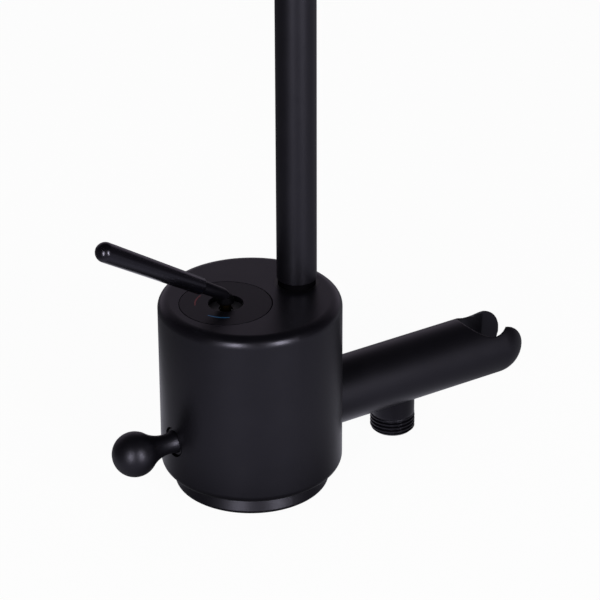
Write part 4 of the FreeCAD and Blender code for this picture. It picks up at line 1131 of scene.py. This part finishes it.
@dataclass
class Diverter(SubAssembly):
    """Pull knob and the valve behind it.

    Attributes:
        height: Height of the knob's axis.
        distance: Distance of the ball's middle in front of the body's axis.
        ball_radius: Radius of the ball.
        neck_curve: Radius of the hollow curve of the neck.
        waist: Distance of the waist behind the ball's middle.
        neck_end: Distance of the neck's end behind the ball's middle.
        socket_depth: Depth of the socket for the stem.
        socket_radius: Radius of that socket.
        edge_round: Rounding of the edges at the neck's end.
        steps: Pieces that a round stretch is split into.
    """

    height: float = 29.7
    distance: float = 60.5
    ball_radius: float = 10.2
    neck_curve: float = 15.5
    waist: float = 16.0
    neck_end: float = 20.8
    socket_depth: float = 5.6
    socket_radius: float = 3.05
    edge_round: float = 0.3
    steps: int = 40

    def build(self) -> None:
        """Makes the knob and the spring, and dresses the valve."""
        self.add(self._knob(), Body.DIVERTER, Slot.BLACK_COAT, FITTING_COAT, "diverter_knob")
        self.add_spring(
            Spring(
                "diverter_coil",
                "diverter_spring",
                Joint.DIVERTER_PULL,
                axis=(0, 1, 0),
                radius=3.95,
                wire=0.35,
                pitch=2.2,
                travel=7.0,
            )
        )
        self.carry(BRASS, "diverter_stem", "diverter_piston", "diverter_bonnet")
        self.carry(RUBBER, "diverter_washers", "diverter_bonnet_seal", "diverter_stem_seal")

    def _knob(self) -> bpy.types.Object:
        """Turns the ball, its waisted neck and the socket for the stem.

        Returns:
            The knob.
        """
        reach = self.ball_radius + self.neck_curve
        away = math.sqrt(reach**2 - self.waist**2)
        tangent = math.degrees(math.atan2(self.waist, away))
        back = math.degrees(math.asin((self.neck_end - self.waist) / self.neck_curve))
        end_radius = away - self.neck_curve * math.cos(math.radians(back))
        outline = rounded(
            (
                (0, self.socket_depth - self.neck_end, 0),
                (self.socket_radius, self.socket_depth - self.neck_end, 0),
                (self.socket_radius, -self.neck_end, self.edge_round),
                (end_radius, -self.neck_end, self.edge_round),
                (end_radius, self.edge_round * 2 - self.neck_end, 0),
            )
        )[:-1]
        neck = arc((away, -self.waist), self.neck_curve, 180 + back, 180 - tangent, self.steps)
        outline += [point for point in neck if point[1] > outline[-1][1]]
        outline += arc((0, 0), self.ball_radius, -tangent, 90, self.steps)[1:-1]
        outline.append((0, self.ball_radius))
        return turned("pull_knob", outline, placed((0, -self.distance, self.height), (0, -1, 0)))


@dataclass
class HandsetArm(SubAssembly):
    """Round arm whose ball end is holed and slotted to hold the handset.

    Attributes:
        height: Height of the arm's axis.
        radius: Radius of the arm.
        start: Distance of its inner end behind the body's axis.
        end: Distance of the ball end's middle.
        hole_distance: Distance of the hole's axis.
        hole_top_radius: Radius of the tapered hole at the top of the arm.
        hole_bottom_radius: Radius of the hole at the underside.
        slot_half: Half the width of the slot.
        lip_half: Half the width that hole and slot narrow to at the underside.
        lip_lift: Heights above the arm's axis where the narrowing ends and where it starts.
        edge_round: Rounding of the holder's upper edges.
        under_round: Rounding of its edges at the underside.
        round_blend: Height over which one rounding passes into the other.
        inside_round: Rounding of the edge inside the body.
        cell: Size of the mesh's cells.
        passes: Times that the points are drawn on to the shape.
        probe: Step that the slope of the shape is measured with.
        least_slope: Least squared slope, so that no point jumps away.
        steps: Pieces that a round stretch is split into.
        segments: Points round the blank and the hole's plug.
    """

    height: float = 29.7
    radius: float = 15.0
    start: float = 30.0
    end: float = 132.2
    hole_distance: float = 127.2
    hole_top_radius: float = 11.65
    hole_bottom_radius: float = 10.75
    slot_half: float = 9.2
    lip_half: float = 7.4
    lip_lift: Flat = (-10.0, -6.0)
    edge_round: float = 0.4
    under_round: float = 0.2
    round_blend: float = 6.0
    inside_round: float = 0.3
    cell: float = 0.55
    passes: int = 8
    probe: float = 0.004
    least_slope: float = 0.25
    steps: int = 40
    segments: int = 128

    def build(self) -> None:
        """Makes the arm and dresses its nipple."""
        self.add(self._arm(), Body.TAP, Slot.BLACK_COAT, FITTING_COAT, "handset_arm")
        self.carry(BRASS, "arm_nipple")
        self.carry(RUBBER, "arm_seal")

    def _arm(self) -> bpy.types.Object:
        """Cuts the holder out of a turned blank and draws every point on to the rounded shape.

        Returns:
            The arm.
        """
        blank = self._blank()
        cutters = (self._hole_cutter(), self._slot_cutter())
        for cutter in cutters:
            cut = blank.modifiers.new(cutter.name, "BOOLEAN")
            cut.operation = "DIFFERENCE"
            cut.object = cutter
        cells = blank.modifiers.new("cells", "REMESH")
        cells.mode = "VOXEL"
        cells.voxel_size = self.cell * MM
        shaped = blank.evaluated_get(bpy.context.evaluated_depsgraph_get())
        data = bpy.data.meshes.new_from_object(shaped)
        for helper in (blank, *cutters):
            bpy.data.objects.remove(helper)
        self._draw_on(data)
        return shown("handset_arm_rounded", data)

    def _blank(self) -> bpy.types.Object:
        """Turns the plain arm with its ball end.

        Returns:
            The blank.
        """
        outline = [(0.0, self.start), (self.radius, self.start), (self.radius, self.end)]
        outline += arc((0, self.end), self.radius, 0, 90, self.steps)[1:-1]
        outline.append((0.0, self.end + self.radius))
        return turned("arm_blank", outline, placed((0, 0, self.height), (0, 1, 0)), self.segments)

    def _hole_cutter(self) -> bpy.types.Object:
        """Turns the tapered plug that cuts the handset's hole and narrows it at the underside.

        Returns:
            The plug.
        """
        reach = 2 * self.radius
        outline = [(self._hole_radius(lift), lift) for lift in (-reach, *self.lip_lift, reach)]
        place = placed((0, self.hole_distance, self.height), (0, 0, 1))
        plug = turned("hole_cutter", [(0.0, -reach), *outline, (0.0, reach)], place, self.segments)
        for vert in plug.data.vertices:
            limit = self._lip_width(vert.co.z / MM - self.height) * MM
            vert.co.x = min(max(vert.co.x, -limit), limit)
        return plug

    def _slot_cutter(self) -> bpy.types.Object:
        """Builds the block that cuts the slot for the hose, narrower at the underside.

        Returns:
            The block.
        """
        reach = 2 * self.radius
        low, high = self.lip_lift
        knee = low + (high - low) * (self.slot_half - self.lip_half) / (self.hole_top_radius - self.lip_half)
        side = [(self.lip_half, lift) for lift in (-reach, low)]
        side += [(self.slot_half, lift) for lift in (knee, reach)]
        outline = side + [(-half, lift) for half, lift in reversed(side)]
        block = bmesh.new()
        for half, lift in outline:
            block.verts.new(Vector((half, self.hole_distance, self.height + lift)) * MM)
        end = block.faces.new(block.verts)
        drawn = bmesh.ops.extrude_face_region(block, geom=[end], use_keep_orig=True)
        moved = [part for part in drawn["geom"] if isinstance(part, bmesh.types.BMVert)]
        bmesh.ops.translate(block, verts=moved, vec=(0, reach * MM, 0))
        bmesh.ops.recalc_face_normals(block, faces=block.faces)
        return from_bmesh("slot_cutter", block)

    def _hole_radius(self, lift: Any) -> Any:
        """Returns the hole's radius at one height or many heights above the arm's axis."""
        middle = (self.hole_top_radius + self.hole_bottom_radius) / 2
        return middle + (self.hole_top_radius - self.hole_bottom_radius) * lift / (2 * self.radius)

    def _lip_width(self, lift: Any) -> Any:
        """Returns half the width that hole and slot may have at one height or many heights."""
        low, high = self.lip_lift
        share = np.clip((lift - low) / (high - low), 0, 1)
        return self.lip_half + (self.hole_top_radius - self.lip_half) * share

    def _draw_on(self, data: bpy.types.Mesh) -> None:
        """Moves a mesh's points on to the exact rounded surface and smooths its shading.

        Args:
            data: The mesh.
        """
        points = np.empty(3 * len(data.vertices))
        data.vertices.foreach_get("co", points)
        points = points.reshape(-1, 3) / MM
        for _ in range(self.passes):
            height = self._distance(points)
            slope = np.empty_like(points)
            for axis in range(3):
                shift = np.zeros(3)
                shift[axis] = self.probe
                ahead = self._distance(points + shift)
                behind = self._distance(points - shift)
                slope[:, axis] = (ahead - behind) / (2 * self.probe)
            steepness = np.maximum((slope**2).sum(axis=1), self.least_slope)
            points -= slope * (height / steepness)[:, None]
        data.vertices.foreach_set("co", (points * MM).ravel())
        data.shade_smooth()
        data.update()

    def _distance(self, points: np.ndarray) -> np.ndarray:
        """Measures how far points lie outside the arm with its rounded edges.

        Args:
            points: Rows of x, y and z.

        Returns:
            The distances, negative inside.
        """
        across, along, lift = points[:, 0], points[:, 1], points[:, 2] - self.height
        beyond = np.maximum(along - self.end, 0)
        blank = np.sqrt(across**2 + lift**2 + beyond**2) - self.radius
        blank = self._rounded_meet(blank, self.start - along, self.inside_round)
        hole = np.hypot(across, along - self.hole_distance) - self._hole_radius(lift)
        slot = np.maximum(np.abs(across) - self.slot_half, self.hole_distance - along)
        opening = np.maximum(np.minimum(hole, slot), np.abs(across) - self._lip_width(lift))
        upper = np.clip(lift / self.round_blend + 0.5, 0, 1)
        rounding = self.under_round + (self.edge_round - self.under_round) * upper
        return self._rounded_meet(blank, -opening, rounding)

    @staticmethod
    def _rounded_meet(first: np.ndarray, second: np.ndarray, rounding: float | np.ndarray) -> np.ndarray:
        """Returns the distance to what two shapes share, with a rounded edge where they meet."""
        inner = np.minimum(np.maximum(first, second), -rounding)
        return inner + np.hypot(np.maximum(first + rounding, 0), np.maximum(second + rounding, 0))


@dataclass
class HoseOutlet(SubAssembly):
    """Threaded outlet under the arm with its check valve.

    Attributes:
        distance: Distance of the outlet behind the body's axis.
        bottom: Height of its lower end.
        radius: Radius over the thread.
        neck_radius: Radius of the plain neck above the thread.
        bore: Radius of the bore.
        bore_top: Height of the bore's end.
        top: Height of the neck's end in the arm.
        edge: Size of the slanted edges at the lower end.
        thread_top: Height where the thread ends.
        pitch: Distance between turns of the thread.
        depth: Depth of the thread.
        rows_per_pitch: Rings in one pitch.
        flat_share: Share of the pitch that is flat at a crest, and at a root.
        segments: Points round the outlet.
    """

    distance: float = 77.0
    bottom: float = 0.8
    radius: float = 10.4
    neck_radius: float = 10.2
    bore: float = 7.0
    bore_top: float = 16.5
    top: float = 19.8
    edge: float = 0.6
    thread_top: float = 9.87
    pitch: float = 1.814
    depth: float = 1.0
    rows_per_pitch: int = 16
    flat_share: float = 0.22
    segments: int = 128

    def build(self) -> None:
        """Makes the outlet and the spring, and dresses the check valve."""
        # The outlet's coat carries painted shade under the arm.
        self.add(self._outlet(), Body.TAP, Slot.BLACK_COAT, OUTLET_COAT, "hose_outlet")
        self.carry(RUBBER, "hose_outlet_seal")
        self.carry(WHITE_PLASTIC, "check_valve_body", "check_valve_poppet")
        self.add_spring(
            Spring(
                "check_coil",
                "check_valve_spring",
                Joint.CHECK_OPEN,
                axis=(0, 0, 1),
                radius=2.6,
                wire=0.25,
                pitch=1.6,
                travel=2.5,
            )
        )

    def _outlet(self) -> bpy.types.Object:
        """Builds the bore, the rim, the thread rows and the neck as one skin.

        Returns:
            The outlet.
        """
        skin = Skin("threaded_outlet", self.segments)
        place = placed((0, self.distance, 0), (0, 0, 1))

        def ring(radius: Callable[[float], float], height: float) -> None:
            """Adds a ring whose radius depends on the angle."""
            skin.ring(
                place @ Vector((radius(a) * math.cos(a), radius(a) * math.sin(a), height))
                for a in skin.angles()
            )

        skin.tip(place @ Vector((0, 0, self.bore_top)))
        ring(lambda _: self.bore, self.bore_top)
        ring(lambda _: self.bore, self.bottom + self.edge)
        ring(lambda _: self.bore + self.edge / 2, self.bottom)
        rows = round((self.thread_top - self.bottom) / self.pitch * self.rows_per_pitch)
        for row in range(rows + 1):
            height = self.bottom + (self.thread_top - self.bottom) * row / rows
            ring(lambda angle: self._thread_radius(angle, height), height)
        ring(lambda _: self.neck_radius, self.thread_top + self.pitch / 2)
        ring(lambda _: self.neck_radius, self.top)
        skin.tip(place @ Vector((0, 0, self.top)))
        return skin.piece()

    def _thread_radius(self, angle: float, height: float) -> float:
        """Finds the thread's radius, which runs out into the neck and slants in at the lower end.

        Args:
            angle: Angle round the outlet's axis.
            height: Height above the floor.

        Returns:
            The radius.
        """
        lift = height - self.bottom
        phase = (lift / self.pitch - angle / TURN) % 1.0
        slope = (1 - abs(2 * phase - 1) - self.flat_share) / (1 - 2 * self.flat_share)
        share = min(max(slope, 0.0), 1.0)
        share = share * share * (3 - 2 * share)
        thread = self.radius - self.depth * (1 - share)
        left = self.thread_top - height
        runout = min(max(left / self.pitch, 0.0), 1.0)
        thread = self.neck_radius + (thread - self.neck_radius) * runout
        return min(thread, self.radius - self.depth - self.edge / 2 + lift)


# Studio


def outward(azimuth: float, elevation: float) -> Vector:
    """Returns the unit direction at an azimuth from -Y towards +X and an elevation, in degrees."""
    turn, lift = math.radians(azimuth), math.radians(elevation)
    return Vector((math.sin(turn) * math.cos(lift), -math.cos(turn) * math.cos(lift), math.sin(lift)))


@dataclass(frozen=True)
class Softbox:
    """A tall soft lamp that looks at the tap.

    Attributes:
        name: Lamp name.
        azimuth: Direction of the lamp from -Y towards +X, in degrees.
        elevation: Angle above the floor, in degrees.
        distance: Metres from the tap.
        width: Width of the lamp.
        height: Height of the lamp.
        power: Watts.
    """

    name: str
    azimuth: float
    elevation: float
    distance: float = 1.6
    width: float = 0.26
    height: float = 1.25
    power: float = 18.0

    def build(self, target: Vector) -> None:
        """Sets the lamp up and points it at the target.

        Args:
            target: Point that the lamp looks at.
        """
        data = bpy.data.lights.new(self.name, "AREA")
        data.shape = "RECTANGLE"
        data.size = self.width
        data.size_y = self.height
        data.energy = self.power
        lamp = bpy.data.objects.new(self.name, data)
        back = outward(self.azimuth, self.elevation)
        lamp.location = target + back * self.distance
        lamp.rotation_euler = back.to_track_quat("Z", "Y").to_euler()
        bpy.context.scene.collection.objects.link(lamp)


@dataclass(frozen=True)
class Floor:
    """Round white floor that keeps the tap's shadow.

    In the tap's own mirror image the floor is lit round the lamps' side and behind the tap, shaded
    at the foot and pale to one side far away.

    Attributes:
        radius: Radius of the floor.
        segments: Points round its rim.
        colour: Colour of its matt surface.
        glow: Share of plain white that the camera sees. The lit surface makes up the rest.
        lit: Mirrored tone of the lit patch.
        lit_centre: Middle of that patch.
        fade: Distances from its middle where it starts to fade and where it ends.
        far_dark: Mirrored tone far away on the dark side.
        far_pale: Mirrored tone far away on the pale side.
        pale_azimuth: Direction of the pale side, in degrees.
        pale_reach: Distance to either side of the tap over which dark turns pale.
        shaded: Mirrored tone at the foot.
        shade_centre: Middle of the shade at the foot.
        shade: Distances from its middle where it starts to lift and where it ends.
        back_lit: Mirrored tone of a second lit patch, behind the tap.
        back_centre: Middle of that patch.
        back_fade: Distances from its middle where it starts to fade and where it ends.
        tint: Colour of the floor in the mirror image.
    """

    radius: float = 4.0
    segments: int = 96
    colour: Colour = (0.86, 0.86, 0.86)
    glow: float = 0.955
    lit: float = 0.42
    lit_centre: Corner = (0.08, -0.05, 0.0)
    fade: Flat = (0.05, 0.27)
    far_dark: float = 0.09
    far_pale: float = 0.27
    pale_azimuth: float = 120.0
    pale_reach: float = 0.30
    shaded: float = 0.04
    shade_centre: Corner = (-0.013, 0.008, 0.0)
    shade: Flat = (0.050, 0.115)
    back_lit: float = 1.0
    back_centre: Corner = (-0.072, 0.045, 0.0)
    back_fade: Flat = (0.060, 0.125)
    tint: Colour = (0.93, 0.92, 1.03)

    def build(self) -> None:
        disc = bmesh.new()
        bmesh.ops.create_circle(disc, cap_ends=True, segments=self.segments, radius=self.radius)
        floor = from_bmesh("floor", disc)
        floor.data.materials.append(self._material())

    def _material(self) -> bpy.types.Material:
        """Builds the floor's white.

        Returns:
            The material.
        """
        paint = Paint("floor_white")
        matt = paint.node("ShaderNodeBsdfDiffuse", sockets={"Color": (*self.colour, 1.0)})
        white = paint.node("ShaderNodeEmission")
        tone = self._mirrored_tone(paint)
        tinted = paint.node("ShaderNodeVectorMath", {"operation": "SCALE"}, {0: self.tint, "Scale": tone})
        mirrored = paint.node("ShaderNodeEmission", sockets={"Color": tinted.outputs[0]})
        seen = paint.node(
            "ShaderNodeMixShader",
            sockets={0: paint.ray("Camera") * self.glow, 1: matt.outputs[0], 2: white.outputs[0]},
        )
        in_mirror = paint.ray("Glossy") + paint.ray("Transmission")
        mixed = paint.node(
            "ShaderNodeMixShader", sockets={0: in_mirror, 1: seen.outputs[0], 2: mirrored.outputs[0]}
        )
        paint.node("ShaderNodeOutputMaterial", sockets={"Surface": mixed.outputs[0]})
        return paint.material

    def _mirrored_tone(self, paint: Paint) -> Socket:
        """Works out how light each place of the floor is in the tap's mirror image.

        Args:
            paint: Material that the nodes go into.

        Returns:
            The tone.
        """
        pale_side = tuple(outward(self.pale_azimuth, 0))
        pale = paint.measure("DOT_PRODUCT", paint.place, pale_side).ramp(-self.pale_reach, self.pale_reach)
        faded = paint.measure("DISTANCE", paint.place, self.lit_centre).ramp(*self.fade)
        unshaded = paint.measure("DISTANCE", paint.place, self.shade_centre).ramp(*self.shade)
        far = pale.between(self.far_dark, self.far_pale)
        back = paint.measure("DISTANCE", paint.place, self.back_centre).ramp(*self.back_fade)
        front = unshaded.between(self.shaded, faded.between(self.lit, far))
        return back.between(self.back_lit, front)


@dataclass(frozen=True)
class Room:
    """Surroundings that are white to the camera, with a pale backdrop in the mirror image.

    Attributes:
        ambient: Strength of the even light from all round.
        tint: Colour of the surroundings in the mirror image.
        backdrop: Mirrored tone of the backdrop.
        backdrop_azimuth: Direction of the backdrop, in degrees.
        backdrop_span: Cosines of the angles where the backdrop ends and where it is full.
        sides: Mirrored tone of the other sides.
        zenith: Mirrored tone overhead.
        overhead_span: Lifts, from 0 level to 1 upright, where the sides end and the overhead starts.
    """

    ambient: float = 0.45
    tint: Colour = (0.96, 0.85, 1.02)
    backdrop: float = 0.45
    backdrop_azimuth: float = 237.0
    backdrop_span: Flat = (0.45, 0.95)
    sides: float = 0.07
    zenith: float = 0.02
    overhead_span: Flat = (0.10, 0.80)

    def build(self) -> None:
        """Sets the surroundings up."""
        world = bpy.data.worlds.new("studio")
        world.use_nodes = True
        wiring = Wiring(world.node_tree)
        soft = wiring.node("ShaderNodeBackground", sockets={"Strength": self.ambient})
        tone = self._mirrored_tone(wiring)
        tinted = wiring.node("ShaderNodeVectorMath", {"operation": "SCALE"}, {0: self.tint, "Scale": tone})
        mirrored = wiring.node("ShaderNodeBackground", sockets={"Color": tinted.outputs[0]})
        white = wiring.node("ShaderNodeBackground", sockets={"Color": (1.0, 1.0, 1.0, 1.0)})
        in_mirror = wiring.ray("Glossy") + wiring.ray("Transmission")
        unseen = wiring.node(
            "ShaderNodeMixShader", sockets={0: in_mirror, 1: soft.outputs[0], 2: mirrored.outputs[0]}
        )
        mixed = wiring.node(
            "ShaderNodeMixShader",
            sockets={0: wiring.ray("Camera"), 1: unseen.outputs[0], 2: white.outputs[0]},
        )
        wiring.node("ShaderNodeOutputWorld", sockets={"Surface": mixed.outputs[0]})
        bpy.context.scene.world = world

    def _mirrored_tone(self, wiring: Wiring) -> Socket:
        """Works out how light each direction is in the tap's mirror image.

        Args:
            wiring: Tree that the nodes go into.

        Returns:
            The tone.
        """
        direction = wiring.node("ShaderNodeTexCoord").outputs["Generated"]
        level = wiring.node(
            "ShaderNodeVectorMath", {"operation": "MULTIPLY"}, {0: direction, 1: (1.0, 1.0, 0.0)}
        )
        heading = wiring.node("ShaderNodeVectorMath", {"operation": "NORMALIZE"}, {0: level.outputs[0]})
        behind = tuple(outward(self.backdrop_azimuth, 0))
        facing = wiring.measure("DOT_PRODUCT", heading.outputs[0], behind).ramp(*self.backdrop_span)
        overhead = wiring.measure("DOT_PRODUCT", direction, (0.0, 0.0, 1.0)).ramp(*self.overhead_span)
        return overhead.between(facing.between(self.sides, self.backdrop), self.zenith)


@dataclass(frozen=True)
class Studio:
    """Floor, surroundings and soft lamps.

    Attributes:
        floor: The floor.
        room: The surroundings.
        lamps: The lamps.
        target: Point that the lamps look at.
    """

    floor: Floor = Floor()
    room: Room = Room()
    lamps: tuple[Softbox, ...] = (Softbox("front_softbox", 40, 10), Softbox("side_softbox", 95, 11))
    target: Corner = (0.0, 0.0, 0.07)

    def build(self) -> None:
        """Sets up the floor, the surroundings, the lamps and the view."""
        self.floor.build()
        self.room.build()
        for lamp in self.lamps:
            lamp.build(Vector(self.target))
        bpy.context.scene.view_settings.view_transform = "Standard"


@dataclass(frozen=True)
class PhotoCamera:
    """Camera at the photo's angle.

    Attributes:
        position: Place of the camera.
        azimuth: Direction of the camera from the tap, from -Y towards +X, in degrees.
        elevation: Angle above the floor, in degrees.
        roll: Tilt of the picture in degrees.
        lens: Focal length in millimetres.
        sensor: Sensor width in millimetres.
    """

    position: Corner = (0.998036, -0.605106, 0.705451)
    azimuth: float = 57.685
    elevation: float = 27.831
    roll: float = -0.208
    lens: float = 179.085
    sensor: float = 36.0

    def build(self) -> None:
        """Sets the camera up and makes it the scene's camera."""
        data = bpy.data.cameras.new("photo_camera")
        data.lens = self.lens
        data.sensor_width = self.sensor
        camera = bpy.data.objects.new("photo_camera", data)
        back = outward(self.azimuth, self.elevation)
        turn = math.radians(self.azimuth)
        right = Vector((math.cos(turn), math.sin(turn), 0))
        up = back.cross(right)
        axes = Matrix((right, up, back)).transposed().to_4x4()
        tilt = Matrix.Rotation(math.radians(self.roll), 4, "Z")
        camera.matrix_world = Matrix.Translation(Vector(self.position)) @ axes @ tilt
        bpy.context.scene.collection.objects.link(camera)
        bpy.context.scene.camera = camera


def main() -> None:
    """Builds the tap, the studio and the camera."""
    logging.basicConfig(level=logging.INFO, format="%(message)s")
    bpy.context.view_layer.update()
    finishes = Finishes()
    for part in (BodyAndFoot, Cartridge, Lever, Spout, Diverter, HandsetArm, HoseOutlet):
        LOG.info("building %s", part.__name__)
        part(finishes).build()
    Studio().build()
    PhotoCamera().build()
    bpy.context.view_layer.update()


if __name__ == "__main__":
    main()
